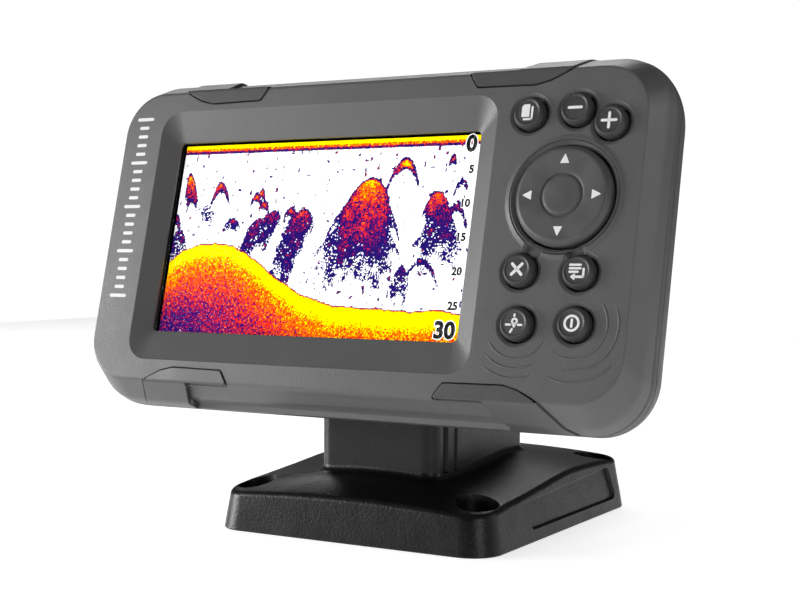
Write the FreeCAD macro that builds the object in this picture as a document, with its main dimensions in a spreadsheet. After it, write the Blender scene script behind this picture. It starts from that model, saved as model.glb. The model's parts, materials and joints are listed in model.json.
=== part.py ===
"""Fish finder: a wide display unit that tilts on a short stand and lifts off its head.

Two frames are used.  The stand is drawn in the part's own frame: the origin is the centre of
the base's underside, +X to the right, +Y to the back and +Z up.  The display unit and the
tilt head are drawn upright in the unit's frame, whose origin lies behind the middle of the
face, and each of their bodies is then placed with the unit's lean.  "Forward" is a distance
towards the viewer, along -Y, because sketches on the XZ plane face that way.
"""
import FreeCAD, Part
import Sketcher
import math
import os
import re

from FreeCAD import Placement, Rotation, Vector

DIMENSIONS = {
    # Stand
    "base_width": 84.8, "base_depth": 96.0, "base_corner": 8.5, "base_draft_angle": 9.0,
    "base_front_height": 10.0, "base_side_height": 14.0, "base_crown_height": 18.6,
    "base_wall": 3.0, "foot_thickness": 2.0, "foot_gap": 0.2,
    "hole_inset_x": 8.2, "hole_inset_y": 10.5, "hole_radius": 2.25,
    "head_recess_radius": 5.7, "hole_floor": 5.0, "boss_wall": 1.8,
    "side_panel_depth": 0.9,
    "column_width": 36.4, "column_depth": 55.6, "column_back": 24.0, "column_corner": 4.0,
    "column_shoulder": 36.0, "seam_behind_front": 12.4, "seam_width": 2.0,
    "seam_depth": 0.8,
    # Tilt joint
    "pivot_height": 44.0, "crest_radius": 15.5, "lean_angle": 14.0, "slot_width": 16.0, "slot_floor": 33.0,
    "washer_thickness": 1.0, "washer_radius": 11.0, "knuckle_radius": 12.5,
    "knuckle_side_gap": 0.3, "swing_gap": 1.0, "axle_radius": 3.0, "axle_gap": 0.06,
    "screw_head_radius": 5.0, "screw_head_height": 2.4, "head_gap": 0.2, "nut_radius": 5.1,
    # Tilt head, in the unit's frame
    "crest_gap": 2.44, "pivot_below": 28.64, "plate_width": 30.0, "plate_thickness": 3.7,
    "plate_top": -2.0, "plate_length": 36.0, "tongue_width": 36.0, "tongue_thickness": 1.6,
    "rail_gap": 0.3, "arm_height": 20.0, "plunger_below": 8.0, "plunger_radius": 1.95,
    "plunger_gap": 0.05, "plunger_nose": 1.2, "plunger_boss_radius": 4.6, "plunger_boss_height": 2.0,
    "knob_radius": 5.0, "knob_height": 3.4, "knob_gap": 0.4, "plunger_groove_depth": 1.6,
    "lift_travel": 30.0,
    # Housing
    "body_width": 165.0, "body_height": 94.0, "body_corner": 13.5,
    "side_bevel": 2.5, "edge_bevel": 5.6, "rear_round": 13.0, "face_corner": 12.0,
    "face_forward": 4.3, "bezel_back": 8.0, "case_back": 30.5,
    "wall": 2.5, "parting_gap": 0.25, "front_wall": 3.5, "seal_step": 4.0, "seal_width": 1.6,
    "seal_height": 1.0, "seal_gap": 0.2, "channel_floor_behind": 12.0, "channel_width": 39.0,
    "channel_back_gap": 0.4,
    # Screen
    "screen_from_left": 66.65, "window_width": 96.4, "window_height": 54.6, "window_corner": 1.5,
    "recess_width": 106.8, "recess_height": 71.0, "recess_corner": 6.0, "recess_lip": 0.8,
    "lens_width": 103.0, "lens_height": 61.6, "lens_thickness": 1.2, "gasket_thickness": 0.3,
    "panel_width": 105.4, "panel_height": 67.2,
    "panel_thickness": 2.6, "backlight_thickness": 1.5,
    # Boards
    "board_margin": 42.0, "board_height": 72.0, "board_thickness": 1.6, "board_gap": 1.8,
    "can_x": -44.0, "can_z": 18.0, "can_width": 26.0, "can_height": 20.0, "can_depth": 3.4,
    "antenna_side": 25.0, "antenna_depth": 4.4, "antenna_z": 20.0,
    "buzzer_x": -44.0, "buzzer_z": -24.0, "buzzer_radius": 6.0, "buzzer_depth": 5.0,
    "transformer_x": 46.0, "transformer_z": -8.0, "transformer_radius": 7.0, "transformer_thickness": 6.0,
    "capacitor_x": 36.0, "capacitor_z": 8.0, "capacitor_radius": 3.0, "capacitor_length": 14.0,
    "chip_height": 1.3, "ribbon_from_right": 30.0, "ribbon_width": 10.0, "ribbon_height": 5.0,
    "standoff_radius": 2.2, "standoff_spacing_x": 90.0, "standoff_spacing_z": 56.0,
    "keypad_from_right": 21.5, "keypad_z": 1.75, "keypad_width": 35.0, "keypad_height": 62.5,
    "mat_forward": 2.6, "mat_thickness": 0.6, "dome_gap": 0.2, "dome_radius": 2.5,
    "screw_inset_x": 8.0, "screw_inset_z": 4.9, "screw_boss_radius": 3.2, "screw_shank_radius": 1.25,
    "screw_seat_behind": 13.0, "case_screw_head_radius": 2.8, "case_screw_head_height": 2.0,
    # Keys
    "key_radius": 4.4, "key_taper": -12.0, "key_rise": 2.0, "key_gap": 0.25,
    "ear_width": 3.0, "ear_length": 10.4, "ear_thickness": 0.8, "ear_gap": 0.3,
    "well_radius": 5.6, "well_depth": 1.0,
    "pad_radius": 13.25, "pad_rise": 1.9, "pad_gap": 0.35, "pad_well_radius": 15.5,
    "pad_flange_radius": 14.0, "pad_flange_thickness": 0.7, "pad_flange_gap": 1.1,
    "ring_radius": 5.15, "ring_width": 0.6, "ring_depth": 0.5,
    "rocker_radius": 4.0, "rocker_thickness": 0.95, "rocker_gap": 0.35,
    "pad_from_right": 19.3, "pad_z": 8.8,
    # Accent inserts
    "insert_depth": 1.4, "insert_rise": 0.35, "insert_groove": 0.4, "edge_recess": 1.1,
    # Rear connector
    "socket_x": -46.0, "socket_z": -4.0, "collar_radius": 9.0, "collar_wall": 1.6,
    "collar_height": 9.0, "collar_flange_radius": 12.0, "collar_flange_height": 2.0,
    "vent_x": 46.0, "vent_z": 14.0, "vent_radius": 2.0, "vent_cap_radius": 4.2, "vent_cap_height": 1.2,
    "socket_floor": 3.0, "pin_radius": 0.5, "pin_length": 5.0, "pin_circle_radius": 5.2,
}

# Middle of each key: in from the face's right edge, and up from the middle of the face
KEYS = {
    "key_pages": (30.7, 30.0), "key_minus": (18.1, 30.6), "key_plus": (9.0, 27.0),
    "key_cancel": (28.8, -9.6), "key_menu": (13.2, -9.9), "key_mark": (28.0, -22.8),
    "key_power": (13.1, -22.4),
}
for key, (from_right, key_z) in KEYS.items():
    DIMENSIONS[key + "_from_right"] = from_right
    DIMENSIONS[key + "_z"] = key_z

# What follows from the driving dimensions
DERIVED = {
    "face_width": "body_width - 2 * side_bevel",
    "face_height": "body_height - 2 * edge_bevel",
    "rear_width": "body_width - 2 * rear_round",
    "rear_height": "body_height - 2 * rear_round",
    "screen_x": "screen_from_left - face_width / 2",
    "keypad_x": "face_width / 2 - keypad_from_right",
    "board_width": "face_width - board_margin",
    "ribbon_x": "face_width / 2 - ribbon_from_right",
    "pad_x": "face_width / 2 - pad_from_right",
    "screw_x": "face_width / 2 - screw_inset_x",
    "screw_z": "face_height / 2 - screw_inset_z",
    "hole_spacing_x": "base_width - 2 * hole_inset_x",
    "hole_spacing_y": "base_depth - 2 * hole_inset_y",
    "plate_back": "channel_floor_behind + rail_gap + plate_thickness",
    "pivot_behind": "plate_back + crest_gap + crest_radius",
    "knuckle_width": "slot_width - 2 * washer_thickness - 2 * knuckle_side_gap",
    "knob_back": "plate_back + plunger_boss_height + knob_gap + knob_height",
    "glass_front": "face_forward - front_wall",
    "gasket_front": "glass_front - lens_thickness",
    "panel_front": "gasket_front - gasket_thickness",
    "backlight_front": "panel_front - panel_thickness",
    "board_front": "backlight_front - backlight_thickness - board_gap",
    "board_back": "board_front - board_thickness",
    "keypad_front": "-mat_forward - dome_gap",
    "ears_back": "glass_front - ear_gap - ear_thickness",
    "flange_back": "glass_front - pad_flange_gap - pad_flange_thickness",
}
for key in KEYS:
    DERIVED[key + "_x"] = f"face_width / 2 - {key}_from_right"

os.makedirs("parts", exist_ok=True)
doc = FreeCAD.newDocument("fish_finder")
sheet = doc.addObject("Spreadsheet::Sheet", "Dimensions")
for row, (alias, number) in enumerate(DIMENSIONS.items(), start=1):
    sheet.set(f"A{row}", alias)
    sheet.set(f"B{row}", str(number))
    sheet.setAlias(f"B{row}", alias)
doc.recompute()


def link(formula):
    """A formula written in the names above, as an expression of the document."""
    def place(word):
        name = word.group(0)
        return ("Derived." if name in DERIVED else "Dimensions.") + name
    return re.sub(r"[a-z][a-z_]*", place, formula)


def bind(target, prop, formula):
    """Tie one property to a formula in those names."""
    target.setExpression(prop, link(formula))


derived = doc.addObject("App::VarSet", "Derived")
for name, formula in DERIVED.items():
    derived.addProperty("App::PropertyFloat", name)
    bind(derived, name, formula)
doc.recompute()


def size(name):
    """The present value of a driving or derived dimension."""
    return getattr(derived, name) if name in DERIVED else float(sheet.get(name))


# ---------------------------------------------------------------- places

LEAN = Rotation(Vector(1, 0, 0), -size("lean_angle"))
COLUMN_FRONT = size("column_back") - size("column_depth")
PIVOT = Vector(0, COLUMN_FRONT + size("crest_radius"), size("pivot_height"))
UNIT_PIVOT = Vector(0, size("pivot_behind"), -size("pivot_below"))
UNIT = Placement(PIVOT - LEAN.multVec(UNIT_PIVOT), LEAN)
STAND = Placement()
AXLE = Placement(PIVOT, Rotation())

nodes = []


class Piece:
    """One PartDesign body, built feature by feature, whose Label names its node."""

    def __init__(self, label, placement=UNIT):
        self.body = doc.addObject("PartDesign::Body", label + "_body")
        self.body.Label = label
        self.body.Placement = placement
        nodes.append(self.body)

    def sketch(self, plane="XZ_Plane", forward="0"):
        """A sketch on one of the body's own origin planes, moved along its normal."""
        drawn = self.body.newObject("Sketcher::SketchObject", "Sketch")
        origin_plane = [f for f in self.body.Origin.OriginFeatures if f.Role == plane][0]
        drawn.AttachmentSupport = [(origin_plane, "")]
        drawn.MapMode = "FlatFace"
        bind(drawn, "AttachmentOffset.Base.z", forward)
        return drawn

    def pad(self, drawn, length, taper=None):
        """Raise a sketch along its normal."""
        raised = self.body.newObject("PartDesign::Pad", "Pad")
        raised.Profile = drawn
        bind(raised, "Length", length)
        if taper:
            bind(raised, "TaperAngle", taper)
        doc.recompute()
        return raised

    def pocket(self, drawn, depth):
        """Cut a sketch into the body, against its normal."""
        before = self.body.Shape.Volume
        sunk = self.body.newObject("PartDesign::Pocket", "Pocket")
        sunk.Profile = drawn
        bind(sunk, "Length", depth)
        doc.recompute()
        assert self.body.Shape.Volume < before, self.body.Label + ": the pocket cuts nothing"
        return sunk

    def fillet(self, chosen, radius):
        """Round the edges that a test picks."""
        tip = self.body.Tip
        names = [f"Edge{i + 1}" for i, e in enumerate(tip.Shape.Edges) if chosen(e)]
        assert names, self.body.Label + ": no edge to round"
        rounded = self.body.newObject("PartDesign::Fillet", "Fillet")
        rounded.Base = (tip, names)
        rounded.Radius = radius
        doc.recompute()
        return rounded


def dimension(drawn, name, formula, *constraint):
    """A driving distance or radius whose value follows the sheet."""
    index = drawn.addConstraint(Sketcher.Constraint(*constraint))
    drawn.renameConstraint(index, name)
    bind(drawn, "Constraints." + name, formula)


def circle(drawn, radius, x="0", z="0"):
    """A circle of a radius about a place, all three following the sheet."""
    first = drawn.GeometryCount
    drawn.addGeometry(Part.Circle(Vector(1, 1, 0), Vector(0, 0, 1), 1.0))
    dimension(drawn, f"radius{first}", radius, "Radius", first, 1.0)
    dimension(drawn, f"right{first}", x, "DistanceX", -1, 1, first, 3, 1.0)
    dimension(drawn, f"up{first}", z, "DistanceY", -1, 1, first, 3, 1.0)


def rectangle(drawn, width, height, x="0", z="0"):
    """A rectangle about a place, drawn as four lines."""
    first = drawn.GeometryCount
    corners = [Vector(-1, -1, 0), Vector(1, -1, 0), Vector(1, 1, 0), Vector(-1, 1, 0)]
    for start, end in zip(corners, corners[1:] + corners[:1]):
        drawn.addGeometry(Part.LineSegment(start, end))
    for side in range(4):
        joined = Sketcher.Constraint("Coincident", first + side, 2, first + (side + 1) % 4, 1)
        drawn.addConstraint(joined)
        drawn.addConstraint(Sketcher.Constraint("Vertical" if side % 2 else "Horizontal", first + side))
    dimension(drawn, f"width{first}", width, "DistanceX", first, 1, first, 2, 2.0)
    dimension(drawn, f"height{first}", height, "DistanceY", first + 1, 1, first + 1, 2, 2.0)
    dimension(drawn, f"left{first}", f"({x}) - ({width}) / 2", "DistanceX", -1, 1, first, 1, -1.0)
    dimension(drawn, f"low{first}", f"({z}) - ({height}) / 2", "DistanceY", -1, 1, first, 1, -1.0)


def along(axis):
    """A test for straight edges that run along an axis."""
    def test(edge):
        if edge.Curve.TypeId != "Part::GeomLine":
            return False
        run = edge.Vertexes[-1].Point - edge.Vertexes[0].Point
        return abs(run.normalize().dot(axis)) > 0.999
    return test


def rim_at(place, radius=None):
    """A test for whole circles that lie at a distance along -Y, of a given radius if stated."""
    def test(edge):
        if edge.Curve.TypeId != "Part::GeomCircle" or abs(edge.Curve.Center.y + place) > 0.01:
            return False
        return radius is None or abs(edge.Curve.Radius - radius) < 0.01
    return test


def plate(label, width, height, thickness, forward, corner=1.0, x="0", z="0"):
    """A flat piece facing forward, with its back at a forward distance and rounded corners."""
    piece = Piece(label)
    outline = piece.sketch(forward=forward)
    rectangle(outline, width, height, x, z)
    piece.pad(outline, thickness)
    piece.fillet(along(Vector(0, 1, 0)), corner)
    return piece


# ---------------------------------------------------------------- shapes drawn with Part

def feature(label, shape, placement=UNIT):
    """A node whose solid comes from Part's own functions."""
    made = doc.addObject("Part::Feature", label + "_solid")
    made.Label = label
    made.Shape = shape.removeSplitter()
    made.Placement = placement
    nodes.append(made)
    return made


def rounded_loop(centre, across, up, width, height, corner):
    """A closed wire: a rectangle with round corners in the plane of two directions."""
    edges = []
    inner_x, inner_y = width / 2 - corner, height / 2 - corner
    bend = corner * math.sqrt(0.5)
    point = lambda a, b: centre + across * a + up * b
    for a, b in ((1, 1), (-1, 1), (-1, -1), (1, -1)):
        turn = a * b
        side = point(a * width / 2, b * inner_y)
        cap = point(a * inner_x, b * height / 2)
        middle = point(a * (inner_x + bend), b * (inner_y + bend))
        ends = (side, cap) if turn > 0 else (cap, side)
        edges.append(Part.Arc(ends[0], middle, ends[1]).toShape())
    joined = []
    for edge, following in zip(edges, edges[1:] + edges[:1]):
        joined.append(edge)
        joined.append(Part.makeLine(edge.Vertexes[-1].Point, following.Vertexes[0].Point))
    return Part.Wire(joined)


def front_loop(forward, width, height, corner, x=0.0, z=0.0):
    """A rounded rectangle that faces forward."""
    return rounded_loop(Vector(x, -forward, z), Vector(1, 0, 0), Vector(0, 0, 1), width, height, corner)


def level_loop(up, width, depth, corner):
    """A rounded rectangle that lies level."""
    return rounded_loop(Vector(0, 0, up), Vector(1, 0, 0), Vector(0, 1, 0), width, depth, corner)


def loft(wires, ruled=False):
    """A solid through wires."""
    return Part.makeLoft(wires, True, ruled)


def block(x, y, z):
    """A box from its lowest and highest value on each axis."""
    return Part.makeBox(x[1] - x[0], y[1] - y[0], z[1] - z[0], Vector(x[0], y[0], z[0]))


def face_prism(points, back, front, grow=0.0):
    """A polygon on the face, grown if asked, from one forward distance to another."""
    wire = Part.makePolygon([Vector(x, -back, z) for x, z in points + points[:1]])
    outline = Part.Face(wire)
    if grow:
        outline = outline.makeOffset2D(grow)
    return outline.extrude(Vector(0, back - front, 0))


def top_prism(points, low, high, grow=0.0):
    """A polygon seen from above, as (x, forward) pairs, between two heights."""
    wire = Part.makePolygon([Vector(x, -forward, low) for x, forward in points + points[:1]])
    outline = Part.Face(wire)
    if grow:
        outline = outline.makeOffset2D(grow)
    return outline.extrude(Vector(0, 0, high - low))


def mirrored_x(shape):
    """A copy on the other side of the middle plane."""
    return shape.mirror(Vector(0, 0, 0), Vector(1, 0, 0))


# ---------------------------------------------------------------- stand

def base_block(inset=0.0, top=30.0):
    """The base's drafted block up to a height, drawn in by an inset."""
    draw_in = top * math.tan(math.radians(size("base_draft_angle")))
    width = size("base_width") - 2 * inset
    depth = size("base_depth") - 2 * inset
    corner = size("base_corner") - inset * 0.5
    return loft([
        level_loop(0, width, depth, corner),
        level_loop(top, width - 2 * draw_in, depth - 2 * draw_in, corner * 0.7),
    ], ruled=True)


def base_crown(drop=0.0):
    """The solid under the base's crowned top: arches at stations from front to back."""
    half = size("base_width") / 2 + 4
    front = -size("base_depth") / 2
    side, crown = size("base_side_height"), size("base_crown_height")
    stations = [
        (front, size("base_front_height") - 0.6, size("base_front_height") + 0.8),
        (COLUMN_FRONT, size("base_front_height") + 0.4, crown - 2.2),
        (COLUMN_FRONT / 2, side - 2.0, crown - 1.8),
        (size("column_back") / 2, side + 0.2, crown),
        (size("base_depth") / 2, side - 0.4, side + 2.2),
    ]
    wires = []
    for y, edge_height, middle_height in stations:
        low, right = Vector(-half, y, edge_height - drop), Vector(half, y, edge_height - drop)
        arch = Part.Arc(low, Vector(0, y, middle_height - drop), right).toShape()
        floor = [Vector(half, y, -5), Vector(-half, y, -5)]
        sides = Part.makePolygon([right] + floor + [low])
        wires.append(Part.Wire([arch] + sides.Edges))
    return loft(wires)


def side_panel(sign):
    """The shallow panel let into one drafted side wall."""
    end = size("base_depth") / 2
    outline = [(21 - end, 10.6), (end - 14, 12.8), (end - 11, 4.6), (end - 12.5, 3.3), (28 - end, 3.2)]
    far = size("base_width")
    wire = Part.makePolygon([Vector(0, y, z) for y, z in outline + outline[:1]])
    prism = Part.Face(wire).extrude(Vector(sign * far, 0, 0))
    skin = base_block().cut(base_block(size("side_panel_depth")))
    return prism.common(skin)


def column_solid():
    """The column: rounded corners in plan, an upright front, and a crest about the tilt axle."""
    width, depth = size("column_width"), size("column_depth")
    front, back = COLUMN_FRONT, size("column_back")
    crest, top, shoulder = size("crest_radius"), size("pivot_height"), size("column_shoulder")
    start = size("foot_thickness")
    middle = Vector(0, (front + back) / 2, start)
    plan = Part.Face(rounded_loop(middle, Vector(1, 0, 0), Vector(0, 1, 0), width, depth,
                                  size("column_corner")))
    plan = plan.extrude(Vector(0, 0, 80))

    # The rear slope leaves the crest's arc at a tangent and ends at the shoulder.
    run, rise = back - PIVOT.y, shoulder - top
    reach = math.hypot(run, rise)
    turn = math.atan2(rise, run) + math.acos(crest / reach)
    leave = Vector(0, PIVOT.y + crest * math.cos(turn), top + crest * math.sin(turn))
    side = Part.Wire([
        Part.makeLine(Vector(0, front, start), Vector(0, front, top)),
        Part.Arc(Vector(0, front, top), Vector(0, PIVOT.y - crest * math.cos(math.pi / 4),
                                               top + crest * math.sin(math.pi / 4)), leave).toShape(),
        Part.makeLine(leave, Vector(0, back, shoulder)),
        Part.makeLine(Vector(0, back, shoulder), Vector(0, back, start)),
        Part.makeLine(Vector(0, back, start), Vector(0, front, start)),
    ])
    profile = Part.Face(side).extrude(Vector(width + 2, 0, 0))
    profile.translate(Vector(-width / 2 - 1, 0, 0))
    column = plan.common(profile)
    seam = front + size("seam_behind_front")
    for sign in (-1, 1):
        x = sorted((sign * (width / 2 - size("seam_depth")), sign * width))
        column = column.cut(block(x, (seam - size("seam_width") / 2, seam + size("seam_width") / 2),
                                  (size("base_crown_height"), 80)))
    return column


def base_hole_places():
    """Middle of each screw hole in the base."""
    return [(sx * size("hole_spacing_x") / 2, sy * size("hole_spacing_y") / 2)
            for sx in (-1, 1) for sy in (-1, 1)]


def base_hollow():
    """What is taken out of the base from below, leaving walls, screw bosses and two ribs."""
    wall = size("base_wall")
    half_column = size("column_width") / 2
    hollow = base_block(wall).common(base_crown(wall))
    kept = [block((-half_column, half_column), (COLUMN_FRONT, size("column_back")), (0, 40))]
    for x, y in base_hole_places():
        kept.append(Part.makeCylinder(size("head_recess_radius") + size("boss_wall"), 30, Vector(x, y, -1)))
    kept.append(block((-1.2, 1.2), (-50, 50), (-1, 40)))
    kept.append(block((-50, 50), (-1.2, 1.2), (-1, 40)))
    seat = base_block(wall - 1.0).common(block((-50, 50), (-50, 50), (-1, size("foot_thickness"))))
    return hollow.cut(kept).fuse(seat)


def make_bracket_base():
    """Base and column in one moulding, with a forked top that carries the tilt axle."""
    column_width = size("column_width")
    pivot_height = size("pivot_height")
    body = base_block().common(base_crown()).fuse(column_solid()).removeSplitter()
    body = body.cut(base_hollow())
    for x, y in base_hole_places():
        body = body.cut(Part.makeCylinder(size("head_recess_radius"), 30, Vector(x, y, size("hole_floor"))))
        body = body.cut(Part.makeCylinder(size("hole_radius"), 30, Vector(x, y, -1)))
    for sign in (-1, 1):
        body = body.cut(side_panel(sign))

    half_slot = size("slot_width") / 2
    body = body.cut(block((-half_slot, half_slot), (COLUMN_FRONT - 1, PIVOT.y), (size("slot_floor"), 80)))
    body = body.cut(block((-half_slot, half_slot), (PIVOT.y, 40), (pivot_height, 80)))
    body = body.cut(along_x_drum(size("knuckle_radius") + size("swing_gap"), -half_slot, half_slot))
    body = body.cut(along_x_drum(size("axle_radius"), -60, 60))
    recess = size("screw_head_height") + size("head_gap")
    pocket = along_x_drum(size("screw_head_radius") + size("head_gap") + 0.1, column_width / 2 - recess, 60)
    return body.cut([pocket, mirrored_x(pocket)])


def along_x_drum(radius, start, end):
    """A cylinder about the tilt axis between two places on it."""
    return Part.makeCylinder(radius, end - start, PIVOT + Vector(start, 0, 0), Vector(1, 0, 0))


def make_foot_pad():
    """Soft sheet let into the underside, which closes the hollow base."""
    inset = size("base_wall") - 1.0 + size("foot_gap")
    sheet_block = base_block(inset).common(block((-50, 50), (-50, 50), (0, size("foot_thickness"))))
    for sx in (-1, 1):
        for sy in (-1, 1):
            place = Vector(sx * size("hole_spacing_x") / 2, sy * size("hole_spacing_y") / 2, -1)
            sheet_block = sheet_block.cut(Part.makeCylinder(size("hole_radius"), 10, place))
    return sheet_block


feature("bracket_base", make_bracket_base(), STAND)
feature("foot_pad", make_foot_pad(), STAND)

# Screw, nut and washers of the tilt axle, along X about the pivot
screw = Piece("tilt_screw", AXLE)
shank = screw.sketch("YZ_Plane", "head_gap - column_width / 2")
circle(shank, "axle_radius")
screw.pad(shank, "column_width - 2 * head_gap")
head = screw.sketch("YZ_Plane", "column_width / 2 - head_gap - screw_head_height")
circle(head, "screw_head_radius")
screw.pad(head, "screw_head_height")
drive = screw.sketch("YZ_Plane", "column_width / 2 - head_gap")
rectangle(drive, "axle_radius * 2.2", "axle_radius * 0.4")
screw.pocket(drive, "screw_head_height / 2")


def make_nut():
    """Hexagon nut let into the left cheek."""
    nut_start = "head_gap - column_width / 2"
    hexagon = doc.addObject("Part::Prism", "nut_hexagon")
    hexagon.Polygon = 6
    bind(hexagon, "Circumradius", "nut_radius")
    bore = doc.addObject("Part::Cylinder", "nut_bore")
    bind(bore, "Radius", "axle_radius")
    for solid in (hexagon, bore):
        bind(solid, "Height", "screw_head_height")
        solid.Placement = Placement(Vector(0, 0, 0), Rotation(Vector(0, 1, 0), 90))
        bind(solid, "Placement.Base.x", nut_start)
    nut = doc.addObject("Part::Cut", "nut_cut")
    nut.Base, nut.Tool = hexagon, bore
    nut.Label = "tilt_nut"
    nut.Placement = AXLE
    nodes.append(nut)


def make_washers():
    """Two plain washers between the knuckle and the cheeks."""
    half_slot, thick = size("slot_width") / 2, size("washer_thickness")
    bore = size("axle_radius") + size("axle_gap")
    rings = []
    for start in (-half_slot, half_slot - thick):
        ring = Part.makeCylinder(size("washer_radius"), thick, Vector(start, 0, 0), Vector(1, 0, 0))
        rings.append(ring.cut(Part.makeCylinder(bore, thick, Vector(start, 0, 0), Vector(1, 0, 0))))
    return Part.makeCompound(rings)


make_nut()
feature("tilt_washers", make_washers(), AXLE)

# ---------------------------------------------------------------- tilt head

PLATE_MIDDLE_Z = "plate_top - plate_length / 2"

tilt_head = Piece("tilt_head")
plate_outline = tilt_head.sketch(forward="-plate_back")
rectangle(plate_outline, "plate_width", "plate_length", z=PLATE_MIDDLE_Z)
tilt_head.pad(plate_outline, "plate_thickness")
tongues = tilt_head.sketch(forward="(plate_thickness - tongue_thickness) / 2 - plate_back")
rectangle(tongues, "tongue_width", "plate_length", z=PLATE_MIDDLE_Z)
tilt_head.pad(tongues, "tongue_thickness")
arm = tilt_head.sketch("YZ_Plane", "-knuckle_width / 2")
rectangle(arm, "pivot_behind - plate_back + 1", "arm_height",
          "(pivot_behind + plate_back - 1) / 2", "-pivot_below")
tilt_head.pad(arm, "knuckle_width")
knuckle = tilt_head.sketch("YZ_Plane", "-knuckle_width / 2")
circle(knuckle, "knuckle_radius", "pivot_behind", "-pivot_below")
tilt_head.pad(knuckle, "knuckle_width")
bore = tilt_head.sketch("YZ_Plane", "knuckle_width / 2")
circle(bore, "axle_radius + axle_gap", "pivot_behind", "-pivot_below")
tilt_head.pocket(bore, "knuckle_width")
boss = tilt_head.sketch(forward="-plate_back - plunger_boss_height")
circle(boss, "plunger_boss_radius", z="-plunger_below")
tilt_head.pad(boss, "plunger_boss_height")
guide = tilt_head.sketch(forward="-channel_floor_behind - rail_gap")
circle(guide, "plunger_radius + plunger_gap", z="-plunger_below")
tilt_head.pocket(guide, "plate_thickness + plunger_boss_height")

plunger = Piece("release_plunger")
knob = plunger.sketch(forward="-knob_back")
circle(knob, "knob_radius", z="-plunger_below")
plunger.pad(knob, "knob_height")
stem = plunger.sketch(forward="-knob_back")
circle(stem, "plunger_radius", z="-plunger_below")
plunger.pad(stem, "knob_back - channel_floor_behind + plunger_nose")
plunger.fillet(rim_at(-size("channel_floor_behind") + size("plunger_nose")), 0.6)

# ---------------------------------------------------------------- housing


def housing(rise=0.0, shift=0.0):
    """The bezel's outer body: a flat face, then a bevel that rounds into the sides."""
    wires = []
    depth = size("face_forward") + shift + size("bezel_back")
    for station in range(5):
        share = station / 4
        spread = math.sin(share * math.pi / 2)
        forward = size("face_forward") + shift - share * depth
        width = size("face_width") + (size("body_width") - size("face_width")) * spread
        height = size("face_height") + (size("body_height") - size("face_height")) * spread
        corner = size("face_corner") + (size("body_corner") - size("face_corner")) * spread
        wires.append(front_loop(forward, width, height + 2 * rise, corner))
    return loft(wires)


def insert_region(grow=0.0, lower=False):
    """Where a right-hand insert lies: a patch of the face joined to a leg across the bevel.

    The legs of the lower pair run further outwards and end in a short toe.
    """
    edge, side = size("face_height") / 2, size("face_width") / 2
    front = size("face_forward")
    patch = [(side - 48.8, edge + 0.3), (side - 46.2, edge - 3.4), (side - 30.0, edge - 3.6),
             (side - 26.0, edge - 2.6), (side - 19.9, edge + 0.3)]
    if lower:
        leg = [(side - 35.2, front + 0.6), (side - 30.4, -4.4), (side - 34.0, -5.2), (side - 34.0, -6.4),
               (side - 14.6, -6.4), (side - 20.7, front + 0.6)]
    else:
        leg = [(side - 35.2, front + 0.6), (side - 31.9, -6.4), (side - 18.7, -6.4), (side - 20.7, front + 0.6)]
    on_face = face_prism(patch, front - 3, front + 3, grow)
    neck = [(side - 34.6, edge - 1.0), (side - 34.6, edge + 1.3), (side - 21.3, edge + 1.3),
            (side - 21.7, edge), (side - 23.4, edge - 1.0)]
    on_bevel = top_prism(leg, edge - 0.05, edge + 12, grow)
    return on_face.fuse(face_prism(neck, front - 3, front + 3, grow)).fuse(on_bevel)


def housing_skin(rise, depth):
    """The layer of the bezel from above its surface to below it."""
    return housing(rise, rise).cut(housing(-depth, -depth))


def four_ways(upper, lower):
    """The two right-hand shapes and their mirror images on the left, by place name."""
    flipped = lower.mirror(Vector(0, 0, 0), Vector(0, 0, 1))
    return {"top_right": upper, "top_left": mirrored_x(upper),
            "bottom_right": flipped, "bottom_left": mirrored_x(flipped)}


def seal_ring(inset, front, back):
    """The closed band just inside the step where the case enters the bezel."""
    width = size("body_width") - 2 * size("wall") - 1 - 2 * inset
    height = size("body_height") - 2 * size("wall") - 1 - 2 * inset
    corner = size("body_corner") - size("wall") - inset
    thick = size("seal_width")
    outer = Part.Face(front_loop(front, width, height, corner))
    inner = Part.Face(front_loop(front, width - 2 * thick, height - 2 * thick, corner - thick))
    return outer.extrude(Vector(0, front - back, 0)).cut(inner.extrude(Vector(0, front - back, 0)))


def case_screw_places():
    """The four case screws, one in each corner."""
    return [(sx * size("screw_x"), sz * size("screw_z")) for sx in (-1, 1) for sz in (-1, 1)]


def drum(radius, x, z, front, back):
    """A cylinder that faces forward."""
    return Part.makeCylinder(radius, front - back, Vector(x, -front, z), Vector(0, 1, 0))


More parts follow.
